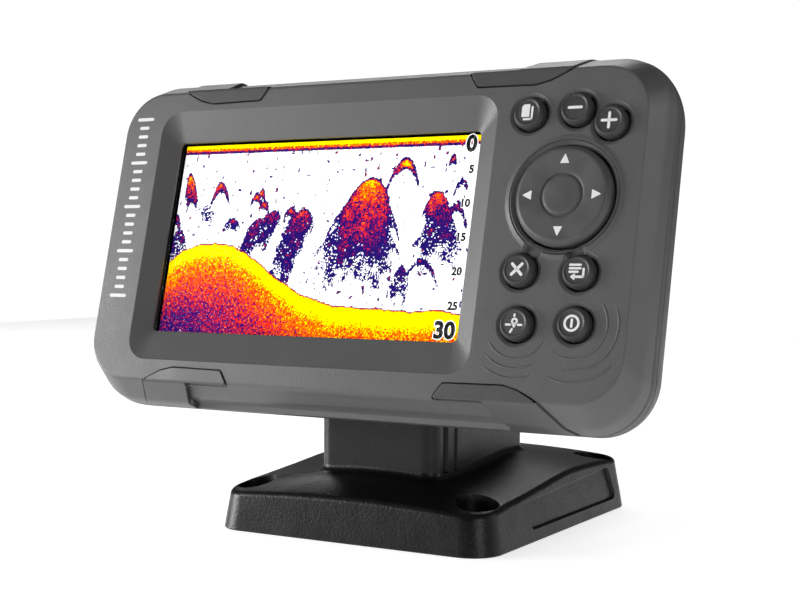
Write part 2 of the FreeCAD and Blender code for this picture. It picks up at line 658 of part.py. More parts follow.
def make_front_bezel():
    """Front moulding: screen window, key wells and holes, seats for the four inserts."""
    front, back = size("face_forward"), -size("bezel_back")
    inside = front - size("front_wall")
    bezel = housing()

    near, far = size("face_width") / 2 - 34.5, size("face_width") / 2 - 28.0
    recess = [(-near, front + 0.6), (near, front + 0.6), (far, -4.2), (far, back - 1),
              (-far, back - 1), (-far, -4.2)]
    skin = housing().cut(housing(-size("edge_recess")))
    band = top_prism(recess, 30, 60).fuse(top_prism(recess, -60, -30))
    bezel = bezel.cut(skin.common(band))

    wall = size("wall")
    cavity = Part.Face(front_loop(inside, size("face_width") - 2 * wall, size("face_height") - 2 * wall,
                                  size("face_corner") - wall))
    cavity = cavity.extrude(Vector(0, inside - back + 1, 0))
    for x, z in case_screw_places():
        cavity = cavity.cut(drum(size("screw_boss_radius"), x, z, inside, back - 2))
    step_width = size("body_width") - 2 * wall - 1
    step_height = size("body_height") - 2 * wall - 1
    step = Part.Face(front_loop(-size("seal_step"), step_width, step_height, size("body_corner") - wall))
    step = step.extrude(Vector(0, size("bezel_back") - size("seal_step") + 1, 0))
    for x, z in case_screw_places():
        step = step.cut(drum(size("screw_boss_radius"), x, z, inside, back - 2))
    bezel = bezel.cut([cavity, step])
    for x, z in case_screw_places():
        bezel = bezel.cut(drum(size("screw_shank_radius"), x, z, -2.0, back - 2))

    screen_x = size("screen_x")
    slope = loft([
        front_loop(front, size("recess_width"), size("recess_height"), size("recess_corner"), screen_x),
        front_loop(inside + size("recess_lip"), size("window_width"), size("window_height"),
                   size("window_corner"), screen_x),
    ], ruled=True)
    window = Part.Face(front_loop(front, size("window_width"), size("window_height"),
                                  size("window_corner"), screen_x)).extrude(Vector(0, 8, 0))
    bezel = bezel.cut([slope, window])

    well_floor = front - size("well_depth")
    holes = []
    for key in KEYS:
        x, z = size(key + "_x"), size(key + "_z")
        holes.append(drum(size("well_radius"), x, z, front + 1, well_floor))
        holes.append(drum(size("key_radius") + size("key_gap"), x, z, front, inside - 1))
    pad_x, pad_z = size("pad_x"), size("pad_z")
    holes.append(drum(size("pad_well_radius"), pad_x, pad_z, front + 1, well_floor))
    holes.append(drum(size("pad_radius") + size("pad_gap"), pad_x, pad_z, front, inside - 1))
    bezel = bezel.cut(holes)

    layer, groove = housing_skin(2.5, size("insert_depth")), size("insert_groove")
    seats = four_ways(layer.common(insert_region(groove)), layer.common(insert_region(groove, lower=True)))
    return bezel.cut(list(seats.values()))


def case_shell(inset=0.0):
    """The rear case's outer body, rounding from its front edge to a flat back."""
    start = size("bezel_back") + size("parting_gap")
    depth = size("case_back") - start - inset
    wires = []
    for station in range(5):
        turn = station / 4 * math.pi / 2
        width = size("rear_width") + (size("body_width") - size("rear_width")) * math.cos(turn)
        height = size("rear_height") + (size("body_height") - size("rear_height")) * math.cos(turn)
        forward = -(start + depth * math.sin(turn))
        wires.append(front_loop(forward, width - 2 * inset, height - 2 * inset, size("body_corner") - inset))
    return loft(wires)


def make_rear_case():
    """Rear moulding: seal tongue, screw bosses, and the channel that the tilt head slides in."""
    start = -(size("bezel_back") + size("parting_gap"))
    wall = size("wall")
    floor = size("channel_floor_behind")
    ceiling = size("plate_top") + size("rail_gap")
    half_channel = size("channel_width") / 2
    cavity = case_shell(wall)
    core = block((-half_channel - wall, half_channel + wall), (floor - wall + 0.1, 60), (-60, ceiling + wall))
    cavity = cavity.cut(core)
    for x, z in case_screw_places():
        cavity = cavity.cut(drum(size("screw_boss_radius") + 1.6, x, z, 0, -60))
    case = case_shell().cut(cavity)
    tongue = seal_ring(size("seal_gap"), -(size("seal_step") + size("seal_height")), start - 1)
    case = case.fuse(tongue)

    gap = size("rail_gap")
    plate_half = size("plate_width") / 2 + gap
    plate_back = size("plate_back")
    tongue_half = size("tongue_width") / 2 + gap
    tongue_middle = plate_back - size("plate_thickness") / 2
    tongue_reach = size("tongue_thickness") / 2 + gap
    wide_start = size("plate_back") + size("channel_back_gap")
    nose = size("plunger_radius") + gap
    nose_top = -size("plunger_below") + nose
    cuts = [
        block((-plate_half, plate_half), (floor, wide_start + 1), (-60, ceiling)),
        block((-tongue_half, tongue_half), (tongue_middle - tongue_reach, tongue_middle + tongue_reach),
              (-60, ceiling)),
        block((-half_channel, half_channel), (wide_start, 60), (-60, ceiling)),
        block((-nose, nose), (floor - size("plunger_groove_depth"), floor + 1),
              (nose_top - 2 * nose - size("lift_travel"), nose_top)),
    ]
    case = case.cut(cuts)
    for x, z in case_screw_places():
        case = case.cut(drum(size("case_screw_head_radius") + 0.4, x, z, -size("screw_seat_behind"), -60))
        case = case.cut(drum(size("screw_shank_radius") + 0.2, x, z, 0, -60))
    bore = size("collar_radius") - size("collar_wall")
    case = case.cut(drum(bore, size("socket_x"), size("socket_z"), -20, -60))
    return case.cut(drum(size("vent_radius"), size("vent_x"), size("vent_z"), -20, -60))


def make_case_screws():
    """Four screws that hold the case to the bezel, each with a hexagon socket."""
    screws = []
    seat = -size("screw_seat_behind")
    for x, z in case_screw_places():
        solid = drum(size("screw_shank_radius"), x, z, -2.4, seat)
        head_back = seat - size("case_screw_head_height")
        solid = solid.fuse(drum(size("case_screw_head_radius"), x, z, seat, head_back))
        corners = [(x + 1.3 * math.cos(math.radians(60 * k)), z + 1.3 * math.sin(math.radians(60 * k)))
                   for k in range(6)]
        screws.append(solid.cut(face_prism(corners, head_back, head_back + 1.2)))
    return Part.makeCompound(screws)


feature("front_bezel", make_front_bezel())
insert_layer = housing_skin(size("insert_rise"), size("insert_depth"))
inserts = four_ways(insert_layer.common(insert_region()), insert_layer.common(insert_region(lower=True)))
for place, shape in inserts.items():
    feature(place + "_insert", shape)
feature("rear_case", make_rear_case())
seal_front = -size("seal_step")
feature("case_seal", seal_ring(size("seal_gap"), seal_front, seal_front - size("seal_height")))
feature("case_screws", make_case_screws())

# ---------------------------------------------------------------- screen

plate("screen_lens", "lens_width", "lens_height", "lens_thickness", "gasket_front", 3.0, x="screen_x")
gasket = plate("screen_gasket", "lens_width", "lens_height", "gasket_thickness", "panel_front", 3.0, x="screen_x")
opening = gasket.sketch(forward="gasket_front")
rectangle(opening, "window_width + 0.6", "window_height + 0.6", x="screen_x")
gasket.pocket(opening, "gasket_thickness")
plate("lcd_panel", "panel_width", "panel_height", "panel_thickness", "backlight_front", 0.6, x="screen_x")
plate("backlight", "panel_width", "panel_height", "backlight_thickness",
      "backlight_front - backlight_thickness", 0.6, x="screen_x")

# ---------------------------------------------------------------- main board and what it carries

plate("main_board", "board_width", "board_height", "board_thickness", "board_back", 2.0)
shield = plate("shield_can", "can_width", "can_height", "can_depth", "board_back - can_depth", 1.0,
               x="can_x", z="can_z")
can_inside = shield.sketch(forward="board_back")
rectangle(can_inside, "can_width - 0.8", "can_height - 0.8", x="can_x", z="can_z")
shield.pocket(can_inside, "can_depth - 0.4")
plate("gps_antenna", "antenna_side", "antenna_side", "antenna_depth", "board_back - antenna_depth", 1.5,
      z="antenna_z")
buzzer = Piece("buzzer")
buzzer_case = buzzer.sketch(forward="board_back - buzzer_depth")
circle(buzzer_case, "buzzer_radius", "buzzer_x", "buzzer_z")
buzzer.pad(buzzer_case, "buzzer_depth")
sound_hole = buzzer.sketch(forward="board_back - buzzer_depth + 1")
circle(sound_hole, "buzzer_radius / 5", "buzzer_x", "buzzer_z")
buzzer.pocket(sound_hole, "1")


def make_transformer():
    """Toroidal transformer that drives the sonar."""
    ring = doc.addObject("Part::Torus", "transformer_ring")
    bind(ring, "Radius1", "transformer_radius")
    bind(ring, "Radius2", "transformer_thickness / 2")
    ring.Label = "sonar_transformer"
    centre = Vector(size("transformer_x"), size("transformer_thickness") / 2 - size("board_back"),
                    size("transformer_z"))
    ring.Placement = UNIT.multiply(Placement(centre, Rotation(Vector(1, 0, 0), 90)))
    nodes.append(ring)


def make_chips():
    """Processor, memory, sonar driver and radio packages on the board's back face."""
    back = size("board_back")
    packages = [(-29, -24, 12, 14), (-29, 0, 10, 12), (29, 18, 10, 12), (30, 31, 8, 6), (46, -28, 10, 10),
                (-54, 0, 6, 8), (52, 31, 6, 6)]
    chips = []
    for x, z, width, height in packages:
        chips.append(block((x - width / 2, x + width / 2), (-back, size("chip_height") - back),
                           (z - height / 2, z + height / 2)))
    return Part.makeCompound(chips)


def make_capacitors():
    """Power capacitors lying across the right of the board."""
    radius = size("capacitor_radius")
    back = size("board_back")
    cans = []
    for step in range(3):
        z = size("capacitor_z") + step * (2 * radius + 0.8)
        start = Vector(size("capacitor_x"), radius - back, z)
        cans.append(Part.makeCylinder(radius, size("capacitor_length"), start, Vector(1, 0, 0)))
    return Part.makeCompound(cans)


def make_standoffs():
    """Four posts that hold the board behind the backlight."""
    back = size("board_back") + size("board_thickness")
    posts = []
    for sx in (-1, 1):
        for sz in (-1, 1):
            x = size("screen_x") + sx * size("standoff_spacing_x") / 2
            posts.append(drum(size("standoff_radius"), x, sz * size("standoff_spacing_z") / 2,
                              back + size("board_gap"), back))
    return Part.makeCompound(posts)


make_transformer()
feature("board_chips", make_chips())
feature("capacitors", make_capacitors())
feature("board_standoffs", make_standoffs())

# ---------------------------------------------------------------- keypad

mat = Piece("keypad_mat")
mat_outline = mat.sketch(forward="-mat_forward")
rectangle(mat_outline, "keypad_width", "keypad_height", "keypad_x", "keypad_z")
mat.pad(mat_outline, "mat_thickness")
mat_hole = mat.sketch(forward="mat_thickness - mat_forward")
circle(mat_hole, "rocker_radius + 0.6", "pad_x", "pad_z")
mat.pocket(mat_hole, "mat_thickness")
plate("keypad_board", "keypad_width", "keypad_height", "board_thickness",
      "keypad_front - board_thickness", 2.0, x="keypad_x", z="keypad_z")
plate("keypad_ribbon", "ribbon_width", "ribbon_height",
      "keypad_front - board_thickness - board_front", "board_front", 0.5, x="ribbon_x")


def make_domes():
    """Metal domes between the mat and the keypad board: one under each key, four under the pad."""
    places = [(size(key + "_x"), size(key + "_z")) for key in KEYS]
    reach = size("pad_radius") - size("dome_radius") - 1
    for quarter in range(4):
        turn = math.radians(90 * quarter)
        places.append((size("pad_x") + reach * math.cos(turn), size("pad_z") + reach * math.sin(turn)))
    back = -size("mat_forward") - size("dome_gap")
    return Part.makeCompound([drum(size("dome_radius"), x, z, -size("mat_forward"), back)
                              for x, z in places])


feature("key_domes", make_domes())

for key in KEYS:
    x, z = key + "_x", key + "_z"
    cap = Piece(key)
    ears = cap.sketch(forward="ears_back")
    rectangle(ears, "ear_width", "ear_length", x, z)
    cap.pad(ears, "ear_thickness")
    stem = cap.sketch(forward="ears_back")
    circle(stem, "key_radius", x, z)
    cap.pad(stem, "face_forward - ears_back")
    crown = cap.sketch(forward="face_forward")
    circle(crown, "key_radius", x, z)
    cap.pad(crown, "key_rise", taper="key_taper")
    cap.fillet(rim_at(size("face_forward") + size("key_rise")), 0.6)

cap = Piece("pad_cap")
flange = cap.sketch(forward="flange_back")
circle(flange, "pad_flange_radius", "pad_x", "pad_z")
cap.pad(flange, "pad_flange_thickness")
stem = cap.sketch(forward="flange_back")
circle(stem, "pad_radius", "pad_x", "pad_z")
cap.pad(stem, "face_forward + pad_rise - flange_back")
cap.fillet(rim_at(size("face_forward") + size("pad_rise"), size("pad_radius")), 1.2)
ring = cap.sketch(forward="face_forward + pad_rise")
circle(ring, "ring_radius + ring_width", "pad_x", "pad_z")
circle(ring, "ring_radius", "pad_x", "pad_z")
cap.pocket(ring, "ring_depth")

rocker = Piece("pad_rocker")
disc = rocker.sketch(forward="flange_back - rocker_gap - rocker_thickness")
circle(disc, "rocker_radius", "pad_x", "pad_z")
rocker.pad(disc, "rocker_thickness")

# ---------------------------------------------------------------- rear connector and vent

collar = Piece("socket_collar")
foot = collar.sketch(forward="-case_back - collar_flange_height")
circle(foot, "collar_flange_radius", "socket_x", "socket_z")
collar.pad(foot, "collar_flange_height")
tube = collar.sketch(forward="-case_back - collar_height")
circle(tube, "collar_radius", "socket_x", "socket_z")
collar.pad(tube, "collar_height")
bore = collar.sketch(forward="-case_back")
circle(bore, "collar_radius - collar_wall", "socket_x", "socket_z")
collar.pocket(bore, "collar_height")

core = Piece("socket_core")
block_outline = core.sketch(forward="-case_back - socket_floor")
circle(block_outline, "collar_radius - collar_wall", "socket_x", "socket_z")
core.pad(block_outline, "socket_floor + wall + 3")


def make_pins():
    """Contact pins standing on the socket's floor in a ring."""
    floor = -(size("case_back") + size("socket_floor"))
    pins = []
    for step in range(5):
        turn = math.radians(90 + 72 * step)
        x = size("socket_x") + size("pin_circle_radius") * math.cos(turn)
        z = size("socket_z") + size("pin_circle_radius") * math.sin(turn)
        pins.append(drum(size("pin_radius"), x, z, floor, floor - size("pin_length")))
    return Part.makeCompound(pins)


feature("socket_pins", make_pins())

vent = Piece("vent_plug")
vent_cap = vent.sketch(forward="-case_back - vent_cap_height")
circle(vent_cap, "vent_cap_radius", "vent_x", "vent_z")
vent.pad(vent_cap, "vent_cap_height")
vent_stem = vent.sketch(forward="-case_back")
circle(vent_stem, "vent_radius", "vent_x", "vent_z")
vent.pad(vent_stem, "wall")

# ---------------------------------------------------------------- check and write

doc.recompute()
for made in doc.Objects:
    if {"Invalid", "Error"} & set(made.State):
        raise RuntimeError(f"{made.Label} did not compute: {made.State}")
labels = [node.Label for node in nodes]
assert len(labels) == len(set(labels)), "two nodes share a name"
for node in nodes:
    shape = node.Shape
    if shape.isNull() or not shape.isValid() or not shape.Solids:
        raise RuntimeError(f"{node.Label} has no sound solid")
    shape.exportStep(f"parts/{node.Label}.step")
print(f"{len(nodes)} nodes written")
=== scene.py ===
"""Looks of a fish finder: a display unit with a keypad, on a short tilting stand.

Two frames are used, as in the part's own model.  The stand is drawn in the row frame.  The
display unit is drawn upright in the unit's frame, in millimetres, and each finished mesh is
then moved by the unit's place, so that every piece's object sits at the origin.  "Forward"
is a distance out of the face, along the unit's -Y.
"""
import json
import logging
import math
from dataclasses import dataclass
from enum import Enum
from typing import Callable, Iterable, Sequence

import bmesh
import bpy
from mathutils import Matrix, Vector, noise

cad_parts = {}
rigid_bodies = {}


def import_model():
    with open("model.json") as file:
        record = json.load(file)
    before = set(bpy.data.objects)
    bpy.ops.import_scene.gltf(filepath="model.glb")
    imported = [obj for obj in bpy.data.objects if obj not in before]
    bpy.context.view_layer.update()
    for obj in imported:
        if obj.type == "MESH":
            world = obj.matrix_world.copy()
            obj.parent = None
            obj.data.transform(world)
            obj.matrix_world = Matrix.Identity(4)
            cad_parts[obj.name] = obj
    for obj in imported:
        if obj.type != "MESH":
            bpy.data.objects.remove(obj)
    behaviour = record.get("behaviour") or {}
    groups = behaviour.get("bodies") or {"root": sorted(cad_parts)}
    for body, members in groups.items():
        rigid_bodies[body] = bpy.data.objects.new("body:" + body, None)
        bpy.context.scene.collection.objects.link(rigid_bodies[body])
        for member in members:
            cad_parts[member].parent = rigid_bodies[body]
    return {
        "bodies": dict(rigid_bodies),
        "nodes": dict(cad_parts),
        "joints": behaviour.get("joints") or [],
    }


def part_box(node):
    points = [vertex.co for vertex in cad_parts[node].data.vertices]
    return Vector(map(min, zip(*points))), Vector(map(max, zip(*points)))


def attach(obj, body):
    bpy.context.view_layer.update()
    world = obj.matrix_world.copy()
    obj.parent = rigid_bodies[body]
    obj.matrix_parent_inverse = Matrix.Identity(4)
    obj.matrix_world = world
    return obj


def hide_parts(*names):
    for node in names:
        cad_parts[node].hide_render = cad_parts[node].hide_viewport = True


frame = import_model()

LOG = logging.getLogger("fish_finder")
MM = 0.001
Pair = tuple[float, float]
Colour = tuple[float, float, float]
Loop = list[Vector]


# ---------------------------------------------------------------- places

def joint(name: str) -> dict:
    """The joint of that name."""
    return next(j for j in frame["joints"] if j["name"] == name)


def unit_place() -> Matrix:
    """Place of the unit's frame in the row frame, with millimetres made metres.

    Returns:
        The matrix that takes a point of the unit's frame to the row frame.
    """
    up = Vector(joint("lift_off")["axis"]).normalized()
    across = Vector((1, 0, 0))
    back = up.cross(across)
    turn = Matrix((across, back, up)).transposed()
    low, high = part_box("screen_lens")
    lens = (low + high) / 2
    # The lens's middle lies a little in front of the unit's origin.
    middle = turn @ Vector((lens.x, -0.2 * MM, 0))
    return Matrix.Translation(lens - middle) @ turn.to_4x4() @ Matrix.Scale(MM, 4)


UNIT = unit_place()
STAND = Matrix.Scale(MM, 4)


def unit_box(node: str) -> tuple[Vector, Vector]:
    """Box of a node in the unit's frame.

    Args:
        node: Name of the node.

    Returns:
        Its lowest and highest corner, in millimetres.
    """
    back = UNIT.inverted()
    points = [back @ v.co for v in frame["nodes"][node].data.vertices]
    low = Vector([min(p[i] for p in points) for i in range(3)])
    high = Vector([max(p[i] for p in points) for i in range(3)])
    return low, high


def unit_middle(node: str) -> Pair:
    """Middle of a node seen from the front, as (x, z) in millimetres."""
    low, high = unit_box(node)
    return (low.x + high.x) / 2, (low.z + high.z) / 2


# ---------------------------------------------------------------- mesh making

def at(x: float, forward: float, z: float) -> Vector:
    """A point of the unit's frame from its distance forward."""
    return Vector((x, -forward, z))


def upright(a: float, b: float, level: float) -> Vector:
    """A point over the place (a, b) of the plan, at a level."""
    return Vector((a, b, level))


def sideways(a: float, b: float, level: float) -> Vector:
    """A point at the place (a, b) of the side view, at a level across."""
    return Vector((level, a, b))


def facing(x: float, forward: float, z: float, sense: int) -> Matrix:
    """Matrix that stands a flat drawing up at a place, facing out of the face or out of the back."""
    return Matrix.Translation(at(x, forward, z)) @ Matrix.Rotation(sense * math.pi / 2, 4, "X")


def rounded(width: float, height: float, corner: float, steps: int = 10, side: int = 1) -> list[Pair]:
    """Points round a rectangle with round corners, anticlockwise from the right side's top.

    Args:
        width: Size along the first direction.
        height: Size along the second direction.
        corner: Radius of the corners.
        steps: Segments in each corner.
        side: Segments in each straight side.

    Returns:
        The points, without a repeat of the first.
    """
    points: list[Pair] = []
    centres = [(1, 1, 0), (-1, 1, 90), (-1, -1, 180), (1, -1, 270)]
    for a, b, start in centres:
        middle = (a * (width / 2 - corner), b * (height / 2 - corner))
        if points and side > 1:
            first = points[-1]
            turn = math.radians(start)
            last = (middle[0] + corner * math.cos(turn), middle[1] + corner * math.sin(turn))
            points += between(first, last, side)
        for step in range(steps + 1):
            turn = math.radians(start + 90 * step / steps)
            points.append((middle[0] + corner * math.cos(turn), middle[1] + corner * math.sin(turn)))
    if side > 1:
        points += between(points[-1], points[0], side)
    return points


def between(first: Pair, last: Pair, parts: int) -> list[Pair]:
    """Points that divide a run into equal parts, without its ends."""
    return [(first[0] + (last[0] - first[0]) * k / parts, first[1] + (last[1] - first[1]) * k / parts)
            for k in range(1, parts)]


def softened(points: Sequence[Pair], radius: float, steps: int = 5) -> list[Pair]:
    """A polygon with its corners rounded.

    Args:
        points: The polygon's corners.
        radius: Radius of the rounding, less where a side is short.
        steps: Segments in each rounding.

    Returns:
        The rounded outline.
    """
    made: list[Pair] = []
    count = len(points)
    for k in range(count):
        before, here, after = (Vector(points[(k + d) % count]) for d in (-1, 0, 1))
        into, out = (before - here), (after - here)
        half = into.angle(out) / 2
        reach = min(radius / math.tan(half), into.length * 0.45, out.length * 0.45)
        start, end = here + into.normalized() * reach, here + out.normalized() * reach
        for step in range(steps + 1):
            t = step / steps
            made.append(tuple(start * (1 - t) ** 2 + here * 2 * t * (1 - t) + end * t ** 2))
    return made


def skin(loops: Sequence[Loop], name: str = "tool") -> bpy.types.Object:
    """A closed shell through loops of equally many points, with flat ends.

    Args:
        loops: The loops, in order along the shell.
        name: Name of the object.

    Returns:
        The object, with its faces outwards.
    """
    bm = bmesh.new()
    rows = [[bm.verts.new(p) for p in loop] for loop in loops]
    for row, following in zip(rows, rows[1:]):
        for k in range(len(row)):
            j = (k + 1) % len(row)
            bm.faces.new((row[k], row[j], following[j], following[k]))
    bm.faces.new(rows[0])
    bm.faces.new(rows[-1])
    return solid(bm, name)


def solid(bm: bmesh.types.BMesh, name: str) -> bpy.types.Object:
    """Turns closed mesh data into a linked object with its faces outwards."""
    bmesh.ops.remove_doubles(bm, verts=bm.verts, dist=1e-5)
    bmesh.ops.recalc_face_normals(bm, faces=bm.faces)
    mesh = bpy.data.meshes.new(name)
    bm.to_mesh(mesh)
    bm.free()
    made = bpy.data.objects.new(name, mesh)
    bpy.context.scene.collection.objects.link(made)
    return made


def front_loop(outline: Sequence[Pair], forward: float, x: float = 0.0, z: float = 0.0) -> Loop:
    """An outline set up facing forward."""
    return [at(a + x, forward, b + z) for a, b in outline]


def lathe(profile: Sequence[Pair], x: float, z: float, name: str = "tool",
          parts: int = 64) -> bpy.types.Object:
    """A turned solid about an axis that runs forward.

    Args:
        profile: (radius, forward) pairs from one flat end to the other.
        x: Place of the axis, to the right.
        z: Place of the axis, up.
        name: Name of the object.
        parts: Segments round the axis.

    Returns:
        The object.
    """
    turns = [2 * math.pi * k / parts for k in range(parts)]
    return skin([[at(x + r * math.cos(t), f, z + r * math.sin(t)) for t in turns] for r, f in profile], name)


def prism(outline: Sequence[Pair], low: float, high: float, point: Callable[[float, float, float], Vector],
          name: str = "tool") -> bpy.types.Object:
    """An outline drawn out between two levels; point turns (a, b, level) into a place."""
    return skin([[point(a, b, level) for a, b in outline] for level in (low, high)], name)


class Join(Enum):
    """How one solid acts on another."""
    CUT = "DIFFERENCE"
    KEEP_COMMON = "INTERSECT"
    ADD = "UNION"


def carve(target: bpy.types.Object, how: Join, *tools: bpy.types.Object) -> bpy.types.Object:
    """Cuts, trims or joins a solid with others, which are used up.

    Args:
        target: The solid that is changed.
        how: What the others do to it.
        tools: The other solids, used one after another.

    Returns:
        The target.
    """
    for tool in tools:
        step = target.modifiers.new("carve", "BOOLEAN")
        step.operation = how.value
        step.solver = "EXACT"
        step.object = tool
    settle(target)
    for tool in tools:
        bpy.data.objects.remove(tool)
    return target


def settle(piece: bpy.types.Object) -> bpy.types.Object:
    """Makes what the modifiers show the piece's own plain mesh."""
    bpy.context.view_layer.update()
    shown = piece.evaluated_get(bpy.context.evaluated_depsgraph_get())
    mesh = bpy.data.meshes.new_from_object(shown)
    piece.modifiers.clear()
    piece.data = mesh
    return piece


def bevelled(piece: bpy.types.Object, width: float, angle: float = 35.0,
             segments: int = 2) -> bpy.types.Object:
    """Rounds a piece's sharp edges, before its normals are set."""
    edge = piece.modifiers.new("edges", "BEVEL")
    edge.width = width
    edge.segments = segments
    edge.limit_method = "ANGLE"
    edge.angle_limit = math.radians(angle)
    edge.harden_normals = False
    return settle(piece)


@dataclass
class Part:
    """What a finished piece needs: its body and the nodes it stands for; its material slot is held but not used."""
    body: str
    slot: str = ""
    stands_for: tuple[str, ...] = ()

    def add(self, piece: bpy.types.Object, name: str, finish: bpy.types.Material, place: Matrix,
            sharp: float = 32.0) -> bpy.types.Object:
        """Dresses a piece, puts its place into its mesh and lets it ride on its body.

        Args:
            piece: The object, drawn in the unit's or the stand's frame.
            name: Its lasting name.
            finish: Its material.
            place: The frame it was drawn in.
            sharp: Angle in degrees from which an edge stays sharp.

        Returns:
            The piece.
        """
        piece.name = name
        piece.data.name = name
        piece.data.materials.clear()
        piece.data.materials.append(finish)
        piece.data.polygons.foreach_set("material_index", [0] * len(piece.data.polygons))
        piece.data.transform(place)
        if sharp:
            piece.data.polygons.foreach_set("use_smooth", [True] * len(piece.data.polygons))
            piece.data.set_sharp_from_angle(angle=math.radians(sharp))
            even = piece.modifiers.new("even", "WEIGHTED_NORMAL")
            even.keep_sharp = True
            settle(piece)
        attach(piece, self.body)
        if self.stands_for:
            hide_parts(*self.stands_for)
        LOG.info("%s: %d faces on %s", name, len(piece.data.polygons), self.body)
        return piece


# ---------------------------------------------------------------- finishes

class Recipe:
    """A material under construction: adds nodes and joins them by socket name."""

    def __init__(self, name: str) -> None:
        """Starts an empty material of that name."""
        self.material = bpy.data.materials.new(name)
        self.material.use_nodes = True
        self.tree = self.material.node_tree
        self.tree.nodes.clear()
        self.output = self.tree.nodes.new("ShaderNodeOutputMaterial")

    def add(self, kind: str, settings: dict | None = None, **inputs: object) -> bpy.types.Node:
        """Adds a node.

        Args:
            kind: The node's type after "ShaderNode".
            settings: Its properties.
            inputs: Socket values or sockets to link, with _ for a space in the name.

        Returns:
            The node.
        """
        node = self.tree.nodes.new("ShaderNode" + kind)
        for key, value in (settings or {}).items():
            setattr(node, key, value)
        for key, value in inputs.items():
            socket = node.inputs[int(key[1:])] if key[1:].isdigit() else node.inputs[key.replace("_", " ")]
            if isinstance(value, bpy.types.NodeSocket):
                self.tree.links.new(value, socket)
            elif isinstance(value, tuple) and socket.type == "RGBA":
                socket.default_value = (*value, 1.0)
            else:
                socket.default_value = value
        return node

    def place(self) -> bpy.types.NodeSocket:
        """Object coordinates, in metres."""
        return self.add("TexCoord").outputs["Object"]

    def noise(self, grain: float, detail: float = 2.0, roughness: float = 0.5) -> bpy.types.NodeSocket:
        """Noise whose lumps are about as wide as a grain in metres."""
        return self.add("TexNoise", Vector=self.place(), Scale=1.0 / grain, Detail=detail,
                        Roughness=roughness).outputs[0]

    def span(self, value: bpy.types.NodeSocket, low: float, high: float, start: float = 0.3,
             end: float = 0.7) -> bpy.types.NodeSocket:
        """Maps the middle of a noise to a range."""
        return self.add("MapRange", Value=value, From_Min=start, From_Max=end, To_Min=low,
                        To_Max=high).outputs[0]

    def math(self, operation: str, *values: object) -> bpy.types.NodeSocket:
        """A Math node on numbers or sockets."""
        inputs = {f"_{k}": value for k, value in enumerate(values)}
        return self.add("Math", {"operation": operation}, **inputs).outputs[0]

    def mix(self, share: object, first: object, second: object) -> bpy.types.NodeSocket:
        """A blend of two colours."""
        node = self.add("Mix", {"data_type": "RGBA"})
        for socket, value in ((node.inputs[0], share), (node.inputs[6], first), (node.inputs[7], second)):
            if isinstance(value, bpy.types.NodeSocket):
                self.tree.links.new(value, socket)
            else:
                socket.default_value = (*value, 1.0) if isinstance(value, tuple) else value
        return node.outputs[2]

    def ramp(self, value: bpy.types.NodeSocket, stops: Sequence[tuple[float, Colour]],
             steps: bool = False) -> bpy.types.NodeSocket:
        """A colour ramp through stops."""
        node = self.add("ValToRGB", Fac=value)
        node.color_ramp.interpolation = "CONSTANT" if steps else "LINEAR"
        while len(node.color_ramp.elements) < len(stops):
            node.color_ramp.elements.new(1.0)
        for element, (place, colour) in zip(node.color_ramp.elements, stops):
            element.position = place
            element.color = (*colour, 1.0)
        return node.outputs[0]

    def edges(self, radius: float) -> bpy.types.NodeSocket:
        """Normal with sharp edges eased over a radius in metres."""
        return self.add("Bevel", {"samples": 4}, Radius=radius).outputs[0]

    def bump(self, height: bpy.types.NodeSocket, depth: float, normal: bpy.types.NodeSocket | None = None,
             strength: float = 1.0) -> bpy.types.NodeSocket:
        """Relief of a depth in metres, over another normal if one is given."""
        node = self.add("Bump", Height=height, Distance=depth, Strength=strength)
        if normal is not None:
            self.tree.links.new(normal, node.inputs["Normal"])
        return node.outputs[0]

    def finish(self, **inputs: object) -> bpy.types.Material:
        """Ends in a Principled shader and returns the material."""
        shader = self.add("BsdfPrincipled", **inputs)
        self.tree.links.new(shader.outputs[0], self.output.inputs[0])
        return self.material


@dataclass(frozen=True)
class MouldedPlastic:
    """Plastic from a spark-eroded mould: fine grain, faint flow marks, and edges rubbed smooth and given a painted
    highlight that lightens their colour.
    """
    name: str
    colour: Colour
    sheen: float = 0.45
    grain: float = 0.0004
    depth: float = 0.00002
    edge: float = 0.0002
    # Lift of the pale tone, used both for the grain's flecks and for the painted highlight along sharp edges.
    worn: float = 1.35
    specular: float = 0.5

    def make(self) -> bpy.types.Material:
        """Builds the material."""
        r = Recipe(self.name)
        fine, flow, rub = r.noise(self.grain, 3.0), r.noise(0.03, 3.0), r.noise(0.006, 4.0)
        pale = tuple(min(1.0, c * self.worn) for c in self.colour)
        dark = tuple(c * 0.9 for c in self.colour)
        body = r.mix(r.span(flow, 0.0, 1.0), self.colour, dark)
        speck = r.mix(r.span(fine, 0.0, 0.35, 0.55, 0.75), body, pale)
        # Painted highlight: where the eased normal turns away from the true one, along sharp edges, the colour is
        # lightened towards the pale tone and the surface made a little smoother. This stands partly for wear and
        # partly for the light line that edges catch.
        eased = r.edges(self.edge)
        turned = r.add("VectorMath", {"operation": "DOT_PRODUCT"}, _0=eased,
                       _1=r.add("NewGeometry").outputs["Normal"]).outputs["Value"]
        rim = r.math("MULTIPLY", r.span(turned, 0.7, 0.0, 0.8, 0.99), r.span(rub, 0.5, 1.0))
        gloss = r.math("ADD", r.span(rub, self.sheen - 0.04, self.sheen + 0.04),
                       r.math("MULTIPLY", rim, -0.08))
        # The edge mask blends in the pale tone, a painted highlight on every sharp edge.
        return r.finish(Base_Color=r.mix(rim, speck, pale), Roughness=gloss, Specular_IOR_Level=self.specular,
                        Normal=r.bump(fine, self.depth, eased), IOR=1.5)


